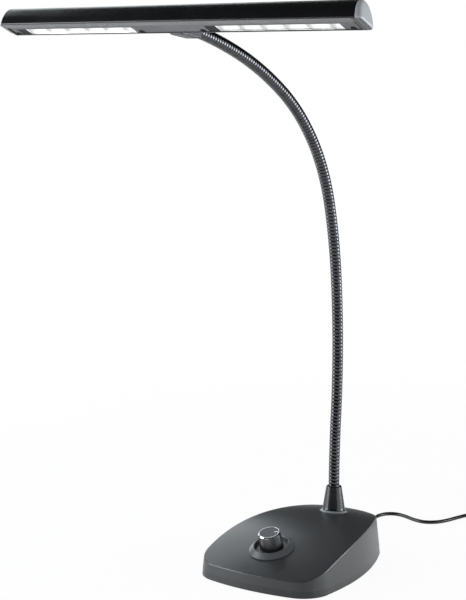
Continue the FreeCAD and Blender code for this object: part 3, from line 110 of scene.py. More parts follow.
def addGrain(tree, surface, place, size, height, strength, detail=2.0):
    # fine moulded or painted grain as a bump; size and height in millimetres
    noise = addNode(
        tree, "ShaderNodeTexNoise", {"Scale": grainScale(size), "Detail": detail}, {"Vector": place.outputs["Object"]}
    )
    bump = addNode(
        tree, "ShaderNodeBump", {"Strength": strength, "Distance": height * mm}, {"Height": noise.outputs["Fac"]}
    )
    tree.links.new(bump.outputs["Normal"], surface.inputs["Normal"])


def addGloss(tree, surface, place, size, low, high):
    # slow variation of roughness, from handling and moulding; the noise lies mostly between 0.3 and 0.7
    noise = addNode(
        tree, "ShaderNodeTexNoise", {"Scale": grainScale(size), "Detail": 3.0}, {"Vector": place.outputs["Object"]}
    )
    spread = addNode(
        tree, "ShaderNodeMapRange", {"From Min": 0.3, "From Max": 0.7, "To Min": low, "To Max": high},
        {"Value": noise.outputs["Fac"]},
    )
    tree.links.new(spread.outputs["Result"], surface.inputs["Roughness"])


def addTones(tree, surface, place, size, dark, light):
    # two close tones mixed by a soft noise
    noise = addNode(
        tree, "ShaderNodeTexNoise", {"Scale": grainScale(size), "Detail": 3.0}, {"Vector": place.outputs["Object"]}
    )
    ramp = addNode(tree, "ShaderNodeValToRGB", links={"Fac": noise.outputs["Fac"]})
    for stop, position, code in zip(ramp.color_ramp.elements, (0.35, 0.65), (dark, light)):
        stop.position = position
        stop.color = linearColour(code)
    tree.links.new(ramp.outputs["Color"], surface.inputs["Base Color"])


def finish(name, shader, tones, grain=None, gloss=None, paintedGlow=None):
    # tones: size, dark, light. grain: size, height, strength, detail. gloss: size, low, high.
    # Sizes are in millimetres; paintedGlow names an attribute that says how much painted light each point gives off.
    material, tree, surface = startMaterial(name, shader)
    place = addNode(tree, "ShaderNodeTexCoord")
    if grain:
        addGrain(tree, surface, place, *grain)
    if gloss:
        addGloss(tree, surface, place, *gloss)
    if paintedGlow:
        light = addNode(tree, "ShaderNodeAttribute", {"attribute_name": paintedGlow})
        tree.links.new(light.outputs["Color"], surface.inputs["Emission Color"])
    addTones(tree, surface, place, *tones)
    return material


def meshPiece(name, points, faces, smooth=True):
    mesh = bpy.data.meshes.new(name)
    mesh.from_pydata(points.tolist(), [], faces.tolist())
    mesh.validate()
    mesh.polygons.foreach_set("use_smooth", np.full(len(mesh.polygons), smooth))
    item = bpy.data.objects.new(name, mesh)
    bpy.context.scene.collection.objects.link(item)
    return item


def closedGrid(rings, count):
    # faces between rings of points, each ring closed on itself
    row, column = np.meshgrid(np.arange(rings - 1), np.arange(count), indexing="ij")
    corner = row * count + column
    beside = row * count + (column + 1) % count
    return np.stack([corner, beside, beside + count, corner + count], axis=-1).reshape(-1, 4)


def dress(item, material):
    item.data.materials.clear()
    item.data.materials.append(material)


def texturedPlastic(name, dark, light):
    # ABS moulded in an eroded tool: satin with a fine even grain. The real grain is about
    # 0.15 mm; it is drawn at 0.7 mm so that it shows.
    return finish(
        name, {"IOR": 1.53, "Roughness": 0.31, "Specular IOR Level": 0.5},
        tones=(0.8, dark, light), grain=(0.7, 0.05, 0.5, 3.0), gloss=(60.0, 0.28, 0.34),
    )


def satinPlastic(name, dark, light):
    # ABS moulded with a light spark finish, finer than the base's
    return finish(
        name, {"IOR": 1.53, "Roughness": 0.35},
        tones=(12.0, dark, light), grain=(0.5, 0.02, 0.35), gloss=(30.0, 0.3, 0.4),
    )


knobValues = {"centre": (0.0, -51.0 * mm, 28.69 * mm), "tilt": 16.6, "ringSpacing": 2.5133}


def spunAluminium(name, dark, light):
    # face-turned anodised aluminium, in rings round the knob's axis. Real ones are about 0.4 mm
    # apart; they are drawn 2.5 mm apart so that they show. A wave repeats every 2 pi / 20 units.
    material, tree, surface = startMaterial(name, {"Metallic": 1.0, "Roughness": 0.3})
    place = addNode(tree, "ShaderNodeTexCoord")
    knob = knobValues
    turn = Matrix.Rotation(math.radians(knob["tilt"]), 3, "X").inverted()
    moved = turn @ Vector(knob["centre"])
    settle = addNode(
        tree,
        "ShaderNodeMapping",
        {"Location": [-value for value in moved], "Rotation": (math.radians(-knob["tilt"]), 0.0, 0.0)},
        {"Vector": place.outputs["Object"]},
    )
    rings = addNode(
        tree,
        "ShaderNodeTexWave",
        {
            "wave_type": "RINGS",
            "rings_direction": "Z",
            "Scale": 2 * math.pi / (20 * knob["ringSpacing"] * mm),
            "Distortion": 0.4,
            "Detail": 1.0,
        },
        {"Vector": settle.outputs["Vector"]},
    )
    bump = addNode(
        tree, "ShaderNodeBump", {"Strength": 0.35, "Distance": 0.02 * mm}, {"Height": rings.outputs["Fac"]}
    )
    tree.links.new(bump.outputs["Normal"], surface.inputs["Normal"])
    addTones(tree, surface, place, 1.2, dark, light)
    return material


materials = {
    "base": texturedPlastic("texturedBlackABS", "333436", "3c3d3f"),
    # the base's textured plastic in darker tones on the tray, so the base is darker along its bottom band
    "tray": texturedPlastic("texturedBlackTrayABS", "28292b", "303133"),
    "bezel": satinPlastic("satinGreyABS", "4e4f51", "585a5c"),
    "socket": satinPlastic("satinBlackABS", "242527", "2c2d2f"),
    # pale grey on the lowest rows of the collar's flare: a painted highlight along the foot's edge
    "rimHighlight": satinPlastic("paintedRimHighlight", "7c7e80", "8a8c8e"),
    # extruded aluminium with black semi-gloss powder paint: fine orange peel, tiny speckle
    "shell": finish(
        "blackPaintedAluminium", {"IOR": 1.5, "Roughness": 0.24},
        tones=(0.6, "0b0b0c", "121214"), grain=(0.9, 0.02, 0.3), gloss=(40.0, 0.21, 0.27),
    ),
    # the faces that point down, in grey: painted light, a painted reflection of the floor on the black shell's foot
    # and painted shade on the caps' lower faces
    "lip": finish(
        "greyDownFacesPaintedLight", {"IOR": 1.6, "Roughness": 0.26},
        tones=(15.0, "58595b", "626365"), grain=(0.5, 0.01, 0.2), gloss=(20.0, 0.22, 0.3),
    ),
    # satin polycarbonate strip, a touch darker than the shell's foot
    "panel": finish(
        "satinPolycarbonate", {"IOR": 1.58, "Roughness": 0.42},
        tones=(20.0, "4b4c50", "55565a"), grain=(0.6, 0.02, 0.3), gloss=(30.0, 0.38, 0.46),
    ),
    # ABS painted silver-grey in a fine satin
    "cap": finish(
        "satinGreyPaintedABS", {"IOR": 1.53, "Roughness": 0.4},
        tones=(0.7, "b2b4b6", "bec0c2"), grain=(0.6, 0.03, 0.4), gloss=(20.0, 0.36, 0.44),
    ),
    # wound steel wire with black nickel plating: dark metal with sharp bright glints
    "wire": finish(
        "blackNickelSteelWire", {"Metallic": 1.0, "Roughness": 0.16},
        tones=(6.0, "4b4b4e", "58585b"), grain=(1.5, 0.02, 0.2), gloss=(4.0, 0.13, 0.2),
    ),
    # black stoved enamel on turned steel, smooth and glossy
    "enamel": finish(
        "glossBlackEnamel", {"IOR": 1.52, "Roughness": 0.24}, tones=(15.0, "161718", "1d1e1f"), grain=(2.5, 0.02, 0.2)
    ),
    "knob": spunAluminium("darkAnodisedAluminium", "68686b", "747477"),
    "disc": spunAluminium("spunGreyAluminium", "4e4e51", "5c5c60"),
    # turned and polished aluminium edge
    "trim": finish(
        "polishedAluminium", {"Metallic": 1.0, "Roughness": 0.12},
        tones=(3.0, "d4d4d6", "e2e2e4"), grain=(0.5, 0.01, 0.2), gloss=(5.0, 0.1, 0.18),
    ),
    # black oxide on small steel screws, nearly matt; drawn nearly black and without sheen, the panel's screw heads
    # also stand for the shade in their holes, a painted shade
    "darkScrew": finish(
        "blackOxideSteelAndHoleShade", {"Metallic": 0.1, "Roughness": 0.6, "Specular IOR Level": 0.1},
        tones=(2.0, "060607", "0a0a0b"), grain=(0.4, 0.01, 0.3), gloss=(2.0, 0.5, 0.6),
    ),
    # zinc plated steel, faintly brushed
    "steel": finish(
        "zincPlatedSteel", {"Metallic": 1.0, "Roughness": 0.34},
        tones=(5.0, "8b8c8d", "a2a3a4"), grain=(0.3, 0.01, 0.3), gloss=(3.0, 0.28, 0.42),
    ),
    # moulded matt rubber with a dusty bloom
    "rubber": finish(
        "mattBlackRubberAndPaintedShade", {"IOR": 1.52, "Roughness": 0.75},
        tones=(8.0, "151515", "1e1e1e"), grain=(0.4, 0.03, 0.5), gloss=(10.0, 0.68, 0.82),
    ),
    # soft satin PVC jacket with a slight ripple from the cable inside
    "cord": finish(
        "satinBlackPVC", {"IOR": 1.53, "Roughness": 0.42},
        tones=(20.0, "0a0a0b", "101011"), grain=(4.0, 0.06, 0.25), gloss=(12.0, 0.38, 0.46),
    ),
    # clear acrylic strip over the LEDs
    "cover": finish(
        "clearAcrylic", {"IOR": 1.49, "Roughness": 0.04, "Transmission Weight": 1.0}, tones=(10.0, "f7f8f8", "ffffff")
    ),
    # vacuum metallised polycarbonate cups; they give light of their own, painted light that stands in for the LEDs'
    # light on the reflector
    "cups": finish(
        "metallisedPolycarbonatePaintedLight", {"Metallic": 0.6, "Roughness": 0.22, "Emission Strength": 0.8},
        tones=(4.0, "b8babc", "c8cacb"), grain=(1.5, 0.02, 0.2), paintedGlow="paintedGlow",
    ),
    # white solder mask over glass laminate
    "board": finish(
        "whiteSolderMask", {"IOR": 1.5, "Roughness": 0.32},
        tones=(3.0, "e9e9e4", "f3f3ef"), grain=(0.4, 0.01, 0.2), gloss=(5.0, 0.28, 0.38),
    ),
    # silicone with yellow phosphor in a white package
    "led": finish(
        "phosphorSilicone",
        {"IOR": 1.42, "Roughness": 0.25, "Emission Color": linearColour("fff6d8"), "Emission Strength": 1.5},
        tones=(0.4, "efe08c", "f6ecb0"), grain=(0.3, 0.01, 0.3),
    ),
}

dressing = {
    "base": ["base_cover"],
    "tray": ["base_tray"],
    "bezel": ["knob_bezel"],
    "socket": ["neck_socket", "adapter_case"],
    "darkScrew": ["socket_grub"],
    "shell": ["head_shell"],
    "panel": ["head_panel"],
    "knob": ["dimmer_knob"],
    "disc": ["knob_disc"],
    "trim": ["knob_trim_ring", "knob_pointer"],
    "steel": [
        "base_screws", "ballast_plate", "ballast_screws", "neck_stud", "neck_washer", "neck_nut",
        "socket_bolts", "dimmer_pot", "pot_shaft", "pot_nut", "board_standoffs", "adapter_pins",
    ],
    "rubber": ["rubber_feet", "strain_relief", "adapter_relief"],
    "cord": ["head_lead"],
    "board": ["driver_board", "led_board_left", "led_board_right"],
    "led": ["leds_left", "leds_right"],
}

for key, names in dressing.items():
    for name in names:
        dress(nodes[name], materials[key])
print("nodes dressed")


neck = {
    # start: y and z at the collar's top; turns: degrees in each length
    "start": (51.6, 62.1), "turns": (-4.2, 5.17, 5.1, 9.47, 22.87, 19.87, 10.87, 8.34), "length": 65.2,
    "radius": 5.0, "pitch": 3.28, "groove": 0.75, "flat": 3.2, "rows": 10, "columns": 28,
    # how far the winding runs on into the collar and into the socket
    "below": 12.0, "above": 10.0,
}


def neckLine(along):
    # point and lean at distances along the neck: arcs of equal length, each turning by its own
    # angle, with straight ends. The lean is the angle from upright towards -Y.
    length = neck["length"]
    y, z = neck["start"]
    lean = 0.0
    along = np.asarray(along, float)
    outY = np.where(along < 0, y, 0.0)
    outZ = np.where(along < 0, z + along, 0.0)
    outLean = np.zeros_like(along)
    for index, turn in enumerate(neck["turns"]):
        bend = length / math.radians(turn)
        inside = (along >= index * length) & (along < (index + 1) * length)
        angle = lean + np.radians(turn) * (along - index * length) / length
        outY = np.where(inside, y + bend * (np.cos(angle) - math.cos(lean)), outY)
        outZ = np.where(inside, z + bend * (np.sin(angle) - math.sin(lean)), outZ)
        outLean = np.where(inside, angle, outLean)
        after = lean + math.radians(turn)
        y += bend * (math.cos(after) - math.cos(lean))
        z += bend * (math.sin(after) - math.sin(lean))
        lean = after
    past = along >= len(neck["turns"]) * length
    extra = along - len(neck["turns"]) * length
    outY = np.where(past, y - math.sin(lean) * extra, outY)
    outZ = np.where(past, z + math.cos(lean) * extra, outZ)
    outLean = np.where(past, lean, outLean)
    return outY, outZ, outLean


def neckPiece(name, firstTurn, lastTurn):
    # wound wire: at turn t and angle a the distance along the neck is pitch * (t + a / 2 pi), and
    # the radius is R - g * (1 - (1 - |2 f - 1|^flat)^(1/flat)), f being the fraction of t within its turn.
    rows, columns = neck["rows"], neck["columns"]
    spread = 0.5 - 0.5 * np.cos(np.pi * np.arange(rows) / rows)
    turn = (np.arange(firstTurn, lastTurn)[:, None] + spread[None, :]).ravel()
    turn = np.append(turn, lastTurn)
    angle = 2 * np.pi * np.arange(columns) / columns
    fraction = turn - np.floor(turn)
    arch = np.clip(1 - np.abs(2 * fraction - 1) ** neck["flat"], 0, 1) ** (1 / neck["flat"])
    radius = neck["radius"] - neck["groove"] * (1 - arch)
    along = neck["pitch"] * (turn[:, None] + angle[None, :] / (2 * np.pi))
    y, z, lean = neckLine(along)
    aside = radius[:, None] * np.sin(angle)[None, :]
    ahead = radius[:, None] * np.cos(angle)[None, :]
    points = np.stack([aside, y + ahead * np.cos(lean), z + ahead * np.sin(lean)], axis=-1)
    # the last column joins the first one a whole turn further up
    count = len(turn)
    row, column = np.meshgrid(np.arange(count - 1), np.arange(columns), indexing="ij")
    wrap = column == columns - 1
    right = np.where(wrap, 0, column + 1)
    lift = np.where(wrap, rows, 0)
    usable = (row + 1 + lift) < count
    corner = row * columns + column
    beside = (row + lift) * columns + right
    faces = np.stack([corner, beside, beside + columns, corner + columns], axis=-1)[usable]
    # one more turn of the seam column closes the open step at the top of the piece
    ends = np.arange(count - rows - 1, count - 1)
    extraAlong = neck["pitch"] * (turn[ends[0] :] + 1.0)
    y, z, lean = neckLine(extraAlong)
    seam = np.stack(
        [np.zeros_like(y), y + radius[ends[0] :] * np.cos(lean), z + radius[ends[0] :] * np.sin(lean)], axis=-1
    )
    base = count * columns
    step = np.arange(len(ends))
    low = (ends * columns) + columns - 1
    closing = np.stack([low, base + step, base + step + 1, low + columns], axis=-1)
    allPoints = np.concatenate([points.reshape(-1, 3), seam]) * mm
    return meshPiece(name, allPoints, np.concatenate([faces, closing]))


def turnAt(distance):
    return int(round(distance / neck["pitch"]))


def makeNeck():
    # seven pieces of one winding, each from the middle of a length to the middle of the next
    length, count = neck["length"], len(neck["turns"])
    middles = [length * (k + 0.5) for k in range(count)]
    for k in range(count - 1):
        first = turnAt(-neck["below"]) if k == 0 else turnAt(middles[k])
        last = turnAt(length * count + neck["above"]) if k == count - 2 else turnAt(middles[k + 1])
        item = neckPiece("wound_neck_%d" % (k + 1), first, last)
        dress(item, materials["wire"])
        ends = [(0.0, float(y) * mm, float(z) * mm) for y, z, lean in map(neckLine, middles[k : k + 2])]
        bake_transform(item)
        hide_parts("neck_segment_%d" % (k + 1))
        if k == count - 2:
            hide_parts("neck_segment_8")


makeNeck()
print("gooseneck made")


collar = {
    # foot, base, top and bore are radii; flare and rim are heights
    "y": 51.6, "foot": 12.9, "base": 10.4, "top": 7.2, "bore": 5.35, "topLevel": 62.1,
    "flare": 2.1, "flarePower": 1.7, "rim": 1.4, "boreFrom": 0.2, "boreTo": 8.0,
    "around": 72, "flareRows": 14, "highlightRows": 10, "coneRows": 16, "rimRows": 8,
    "domeTop": (24.6, 39.7), "domeLong": 265.0, "domeCross": 433.0,
}


def domeLevel(x, y):
    # the base's top: two arcs, one along the base and one across it
    top, high = collar["domeTop"]
    along = collar["domeLong"] - np.sqrt(collar["domeLong"] ** 2 - (y - top) ** 2)
    return high - along - (collar["domeCross"] - np.sqrt(collar["domeCross"] ** 2 - x**2))


def makeCollar():
    # turned cone on a flared foot: with w from 0 at the foot's edge to 1 at the cone the flare
    # stands flare * w^flarePower above the dome; a quarter circle rounds the top
    values = collar
    angle = 2 * np.pi * np.arange(values["around"]) / values["around"]
    w = np.linspace(0, 1, values["flareRows"])[:, None]
    cone = np.linspace(0, 1, values["coneRows"])[1:, None]
    turn = np.linspace(0, np.pi / 2, values["rimRows"])[1:, None]
    shoulder = values["topLevel"] - values["rim"]
    radius = np.concatenate([
        values["foot"] + (values["base"] - values["foot"]) * w,
        values["base"] + (values["top"] - values["base"]) * cone,
        values["top"] - values["rim"] * (1 - np.cos(turn)),
        [[values["bore"]], [values["bore"]]],
    ])
    x = radius * np.sin(angle)
    y = values["y"] + radius * np.cos(angle)
    flareZ = domeLevel(x[: len(w)], y[: len(w)]) + values["flare"] * w ** values["flarePower"]
    coneZ = flareZ[-1] * (1 - cone) + shoulder * cone
    rimZ = shoulder + values["rim"] * np.sin(turn) + 0 * x[:1]
    boreZ = values["topLevel"] - np.array([[values["boreFrom"]], [values["boreTo"]]]) + 0 * x[:1]
    z = np.concatenate([flareZ, coneZ, rimZ, boreZ])
    points = np.stack([x, y, z], axis=-1).reshape(-1, 3) * mm
    item = meshPiece("flared_collar", points, closedGrid(len(radius), values["around"])[:, ::-1])
    dress(item, materials["enamel"])
    # the lowest rows take the pale grey: painted highlight
    item.data.materials.append(materials["rimHighlight"])
    slots = np.zeros(len(item.data.polygons), dtype=np.int32)
    slots[: values["around"] * values["highlightRows"]] = 1
    item.data.polygons.foreach_set("material_index", slots)
    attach(item, "base")
    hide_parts("neck_collar")


head = {
    # ahead and above: the middle of the underside, from the neck's end
    "ahead": 38.0, "above": 1.9, "roll": 23.3,
    "halfWidth": 10.95, "height": 18.1, "shoulder": 2.4, "corner": 1.1, "archPoints": 120, "cornerPoints": 10,
    "steep": 0.95,
}
sides = {"left": -1, "right": 1}


def headPoints(x, v, u):
    # from the head's own frame: x along it, v to the rear along its underside, u up from that
    y, z, lean = neckLine(neck["length"] * len(neck["turns"]))
    roll = math.radians(head["roll"])
    outY = float(y) - head["ahead"] + math.cos(roll) * v + math.sin(roll) * u
    outZ = float(z) + head["above"] - math.sin(roll) * v + math.cos(roll) * u
    return np.stack([x, outY, outZ], axis=-1) * mm


def headSection(count):
    # closed outline of the D: a half ellipse on short walls, quarter circles at its lower corners,
    # and a flat foot, in points evenly spaced along it
    half, corner, shoulder = head["halfWidth"], head["corner"], head["shoulder"]
    arch = np.linspace(0, np.pi, head["archPoints"])
    turn = np.linspace(0, np.pi / 2, head["cornerPoints"])
    v = np.concatenate([
        half * np.cos(arch), -half + corner - corner * np.cos(turn), half - corner + corner * np.sin(turn),
    ])
    u = np.concatenate([
        shoulder + (head["height"] - shoulder) * np.sin(arch), corner - corner * np.sin(turn),
        corner - corner * np.cos(turn),
    ])
    v, u = np.append(v, v[0]), np.append(u, u[0])
    walked = np.append(0, np.cumsum(np.hypot(np.diff(v), np.diff(u))))
    spots = np.linspace(0, walked[-1], count, endpoint=False)
    return np.interp(spots, walked, v), np.interp(spots, walked, u)


def paintLightOnDownFaces(item, steep):
    # faces that point down out of the section by more than this cosine take the lip's grey: painted reflection on the
    # shell, painted shade on the caps
    mesh = item.data
    mesh.materials.append(materials["lip"])
    normals = np.zeros(3 * len(mesh.polygons))
    mesh.polygons.foreach_get("normal", normals)
    turned = normals.reshape(-1, 3) @ np.array(item.matrix_world.to_3x3()).T
    roll = math.radians(head["roll"])
    down = turned @ np.array([0.0, -math.sin(roll), -math.cos(roll)])
    mesh.polygons.foreach_set("material_index", (down > steep).astype(np.int32))


capValues = {
    # seam: where the cap starts at the lip; slant: how much sooner it starts per mm up
    "right": {
        "end": 168.0, "seam": 170.2, "slant": 0.2, "foot": 5.0, "apex": 3.0, "power": 8, "root": 0.5, "centre": 6.8,
    },
    "left": {
        "end": -161.0, "seam": -161.0, "slant": 0.0, "foot": 7.0, "apex": 1.0, "power": 3, "root": 1.0, "centre": 3.0,
    },
    "rings": 36, "around": 150, "steep": 0.87, "clearance": 0.02, "overlap": 1.0, "tuck": 0.97,
}


def makeCap(word):
    # pillow-shaped end: with s from 1 at the outline to 0 in the middle, the surface rises by
    # t * (1 - s^power)^root, where t goes from foot to apex up the section
    values, side = capValues[word], sides[word]
    v, u = headSection(capValues["around"])
    s = np.append(np.cos(np.linspace(0, np.pi / 2, capValues["rings"]))[:-1], 0.0)[:, None]
    ringV = v * s
    ringU = values["centre"] + (u - values["centre"]) * s
    rise = values["foot"] + (values["apex"] - values["foot"]) * ringU / head["height"]
    rise = rise * (1 - s ** values["power"]) ** values["root"]
    x = values["seam"] + side * (rise + values["slant"] * (head["shoulder"] - ringU))
    points = headPoints(x, ringV, ringU).reshape(-1, 3)
    item = meshPiece("domed_cap_" + word, points, closedGrid(len(s), capValues["around"])[:, ::side])
    dress(item, materials["cap"])
    # the cap's lower faces turn darker grey: painted shade
    paintLightOnDownFaces(item, capValues["steep"])
    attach(item, "head")
    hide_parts("end_cap_" + word)


def makeShellEnd(word):
    # the shell's painted end, run on to the cap's slanted seam a hair outside the shell, and
    # tucked in behind the cap
    values, side = capValues[word], sides[word]
    v, u = headSection(capValues["around"])
    seam = values["seam"] + side * values["slant"] * (head["shoulder"] - u)
    seam = side * np.maximum(side * values["end"], side * seam + capValues["clearance"])
    x = np.stack([np.full_like(u, values["end"] - side * capValues["overlap"]), seam, seam])
    outside = 1 + capValues["clearance"] / head["halfWidth"]
    size = np.array([outside, outside, capValues["tuck"]])[:, None]
    points = headPoints(x, v * size, values["centre"] + (u - values["centre"]) * size).reshape(-1, 3)
    item = meshPiece("shell_end_" + word, points, closedGrid(3, capValues["around"])[:, ::side], smooth=False)
    dress(item, materials["shell"])
    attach(item, "head")


cups = {
    # dark: the length of the window's left end that a black block fills, painted shade standing in for the shaded end
    # wall seen through the window
    "near": 34.7, "far": 153.0, "count": 6, "shift": 9.0, "dark": 9.4,
    "front": -0.9, "rear": 8.6, "foot": 3.45, "depth": 3.1, "power": 4, "sheet": 0.35,
    "endMargin": 1.3, "frontMargin": 0.6, "rearMargin": 0.3, "across": 26, "alongEach": 30,
    "paintedRimShade": 0.85, "rimWidth": 0.3, "shadeBlockFront": -0.3, "shadeBlockRear": 8.9, "shadeBlockLevel": 0.8,
}


def makeCups(word):
    # one moulded sheet of bowls: with f and g running over each bowl from -1 to 1 the height is
    # depth * (1 - |f|^power) * (1 - |g|^power), and nothing outside them
    side = sides[word]
    window = cups["far"] - cups["near"]
    pitch = window / cups["count"]
    # both rows start the same distance to the right of their window's left end
    shift = cups["shift"] if side > 0 else pitch - cups["shift"]
    along = np.linspace(-cups["endMargin"], window + cups["endMargin"], cups["alongEach"] * cups["count"] + 1)
    over = np.linspace(cups["front"] - cups["frontMargin"], cups["rear"] + cups["rearMargin"], cups["across"])
    fromLeft = along if side > 0 else window - along
    f = np.where(fromLeft < cups["dark"], 1.0, 2 * (np.mod(along - shift, pitch) / pitch) - 1)[:, None]
    g = np.clip(2 * (over - cups["front"]) / (cups["rear"] - cups["front"]) - 1, -1, 1)
    high = cups["foot"] + cups["depth"] * (1 - np.abs(f) ** cups["power"]) * (1 - np.abs(g) ** cups["power"])
    # the left end stands out as a black block that fills the window there: painted shade in place of the shaded end
    # wall
    inWindow = (over > cups["shadeBlockFront"]) & (over < cups["shadeBlockRear"])
    block = ((fromLeft > 0) & (fromLeft < cups["dark"]))[:, None] & inWindow
    high = np.where(block, cups["shadeBlockLevel"], high)
    x = np.broadcast_to(side * (cups["near"] + along)[:, None], high.shape)
    v = np.broadcast_to(over, high.shape)
    points = headPoints(x, v, high).reshape(-1, 3)
    row, column = np.meshgrid(np.arange(len(along) - 1), np.arange(len(over) - 1), indexing="ij")
    corner = (row * len(over) + column).reshape(-1)
    faces = np.stack([corner, corner + 1, corner + len(over) + 1, corner + len(over)], axis=-1)[:, ::side]
    item = meshPiece("cup_row_" + word, points, faces)
    # painted light in each bowl, standing in for the LEDs' light: full but near the rims between bowls, less
    # paintedRimShade * exp(-((1 - |f|) / rimWidth)^2), a painted shade
    paintedGlow = 1 - cups["paintedRimShade"] * np.exp(-(((1 - np.abs(f)) / cups["rimWidth"]) ** 2)) * np.ones_like(g)
    item.data.attributes.new("paintedGlow", "FLOAT", "POINT").data.foreach_set("value", paintedGlow.reshape(-1).astype(np.float32))
    wall = item.modifiers.new("wall", "SOLIDIFY")
    wall.thickness = cups["sheet"] * mm
    wall.offset = -1.0
    dress(item, materials["cups"])
    # the black block takes the matt black rubber: painted shade
    item.data.materials.append(materials["rubber"])
    middle = 0.5 * (fromLeft[1:] + fromLeft[:-1])
    shadeBlockFaces = np.repeat(middle < cups["dark"], len(over) - 1).astype(np.int32)
    item.data.polygons.foreach_set("material_index", shadeBlockFaces)
    item.data.polygons.foreach_set("use_smooth", shadeBlockFaces == 0)
    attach(item, "head")
    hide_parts("reflector_" + word)


coverValues = {
    "near": 34.75, "far": 152.95, "front": -0.35, "rear": 8.95, "flush": 0.6, "step": 2.42, "top": 3.4,
    "frontMargin": 1.55, "rearMargin": 0.4, "plainEnd": 9.9,
}


def makeCover(word):
    # clear strip: its stepped section fills the window nearly flush and rests on the panel inside
    values, side = coverValues, sides[word]
    low, high, step = values["front"], values["rear"], values["step"]
    inner, outer = low - values["frontMargin"], high + values["rearMargin"]
    v = np.array([low, high, high, outer, outer, inner, inner, low])
    u = np.array([values["flush"], values["flush"], step, step, values["top"], values["top"], step, step])
    # it stops at the black block of painted shade, which is at the window's left end
    near = values["near"] + (values["plainEnd"] if side > 0 else 0.0)
    far = values["far"] - (values["plainEnd"] if side < 0 else 0.0)
    points = headPoints(np.repeat(side * np.array([near, far]), len(v)), np.tile(v, 2), np.tile(u, 2))
    # each stepped end is two four-sided faces, one for the foot and one for the plate
    ends = np.array([[0, 1, 2, 7], [6, 3, 4, 5]])
    faces = np.vstack([closedGrid(2, len(v)), ends[:, ::-1], ends + len(v)])[:, ::-side]
    item = meshPiece("clear_cover_" + word, points, faces, smooth=False)
    shape = bmesh.new()
    shape.from_mesh(item.data)
    bmesh.ops.recalc_face_normals(shape, faces=shape.faces)
    shape.to_mesh(item.data)
    shape.free()
    dress(item, materials["cover"])
    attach(item, "head")
    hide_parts("lens_" + word)


screwValues = {
    "places": (-156.3, -29.1, 29.1, 160.0), "v": 7.4, "radius": 2.5, "height": 0.4, "face": 0.48,
    "rings": 8, "around": 28,
}


def makeScrews():
    # low domed heads: with s from 1 at the rim to 0 the height is height * sqrt(1 - s^2)
    values = screwValues
    s = np.cos(np.linspace(0, np.pi / 2, values["rings"]))[:, None]
    angle = 2 * np.pi * np.arange(values["around"]) / values["around"]
    points, faces = [], []
    for place in values["places"]:
        x = place + values["radius"] * s * np.cos(angle)
        v = values["v"] + values["radius"] * s * np.sin(angle)
        u = values["face"] - values["height"] * np.sqrt(1 - s**2) + 0 * v
        faces.append(closedGrid(values["rings"], values["around"])[:, ::-1] + len(points) * v.size)
        points.append(headPoints(x, v, u).reshape(-1, 3))
    item = meshPiece("screw_heads", np.vstack(points), np.vstack(faces))
    # nearly black, matt heads: black oxide steel, and painted shade of the screw holes
    dress(item, materials["darkScrew"])
    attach(item, "head")
    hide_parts("panel_screws")


# the shell's foot turns grey: a painted reflection of the floor
paintLightOnDownFaces(nodes["head_shell"], head["steep"])
makeScrews()
for word in sides:
    makeCap(word)
    makeShellEnd(word)
for word in sides:
    makeCups(word)
    makeCover(word)
makeCollar()
print("head and collar made")


cord = {
    # length in metres, the rest in millimetres
    "length": 1.78, "diameter": 3.5, "coilCentre": (84.0, 248.0), "innerTurn": 14.0, "outerTurn": 24.5,
    "layers": 4, "turnsPerLayer": 3, "pointsPerTurn": 15, "climbShare": 3, "swing": 0.5, "tail": 18.0,
}
cordRoute = [
    # out of the wall, down to the floor and across it to the coil
    (-15.0, 105.554, 12.0), (-15.0, 113.5, 12.0), (-15.4, 124.5, 9.6), (-16.2, 136.0, 5.4), (-17.8, 148.0, 1.75),
    (-20.2, 160.3, 1.75), (-21.8, 172.5, 1.75), (-18.6, 183.0, 1.75), (-9.5, 188.0, 1.75), (2.0, 185.4, 1.75),
    (13.5, 179.6, 1.75), (26.5, 177.2, 1.75), (37.2, 184.4, 1.75), (42.6, 197.0, 1.75), (45.6, 210.0, 1.75),
    (49.2, 222.8, 1.75), (54.6, 235.6, 1.75),
]


def coilPoints():
    # flat spirals in layers, in and out by turns. Between layers the cord climbs one diameter over
    # a third of a turn, by the smooth step 3 q^2 - 2 q^3, and swings clear of the turn beside it.
    perTurn = cord["pointsPerTurn"]
    lift = perTurn // cord["climbShare"]
    widen = 1 / math.cos(math.pi / perTurn) ** 0.5  # the curve runs a little inside its points
    radii, heights = [], []
    inner, outer = cord["innerTurn"], cord["outerTurn"]
    level = cord["diameter"] / 2
    for layer in range(cord["layers"]):
        first, last = (outer, inner) if layer % 2 == 0 else (inner, outer)
        count = cord["turnsPerLayer"] * perTurn
        share = np.arange(count + (layer == cord["layers"] - 1)) / count
        radii.append(first + (last - first) * share)
        heights.append(np.full(len(share), level))
        if layer < cord["layers"] - 1:
            share = np.arange(lift) / lift
            swing = -cord["swing"] if layer % 2 == 0 else cord["swing"]
            radii.append(last + swing * np.sin(np.pi * share))
            heights.append(level + cord["diameter"] * share * share * (3 - 2 * share))
            level += cord["diameter"]
    radius = np.concatenate(radii) * widen
    height = np.concatenate(heights)
    angle = np.pi - 2 * np.pi * np.arange(len(radius)) / perTurn
    x = cord["coilCentre"][0] + radius * np.cos(angle)
    y = cord["coilCentre"][1] + radius * np.sin(angle)
    return np.stack([x, y, height], axis=-1)


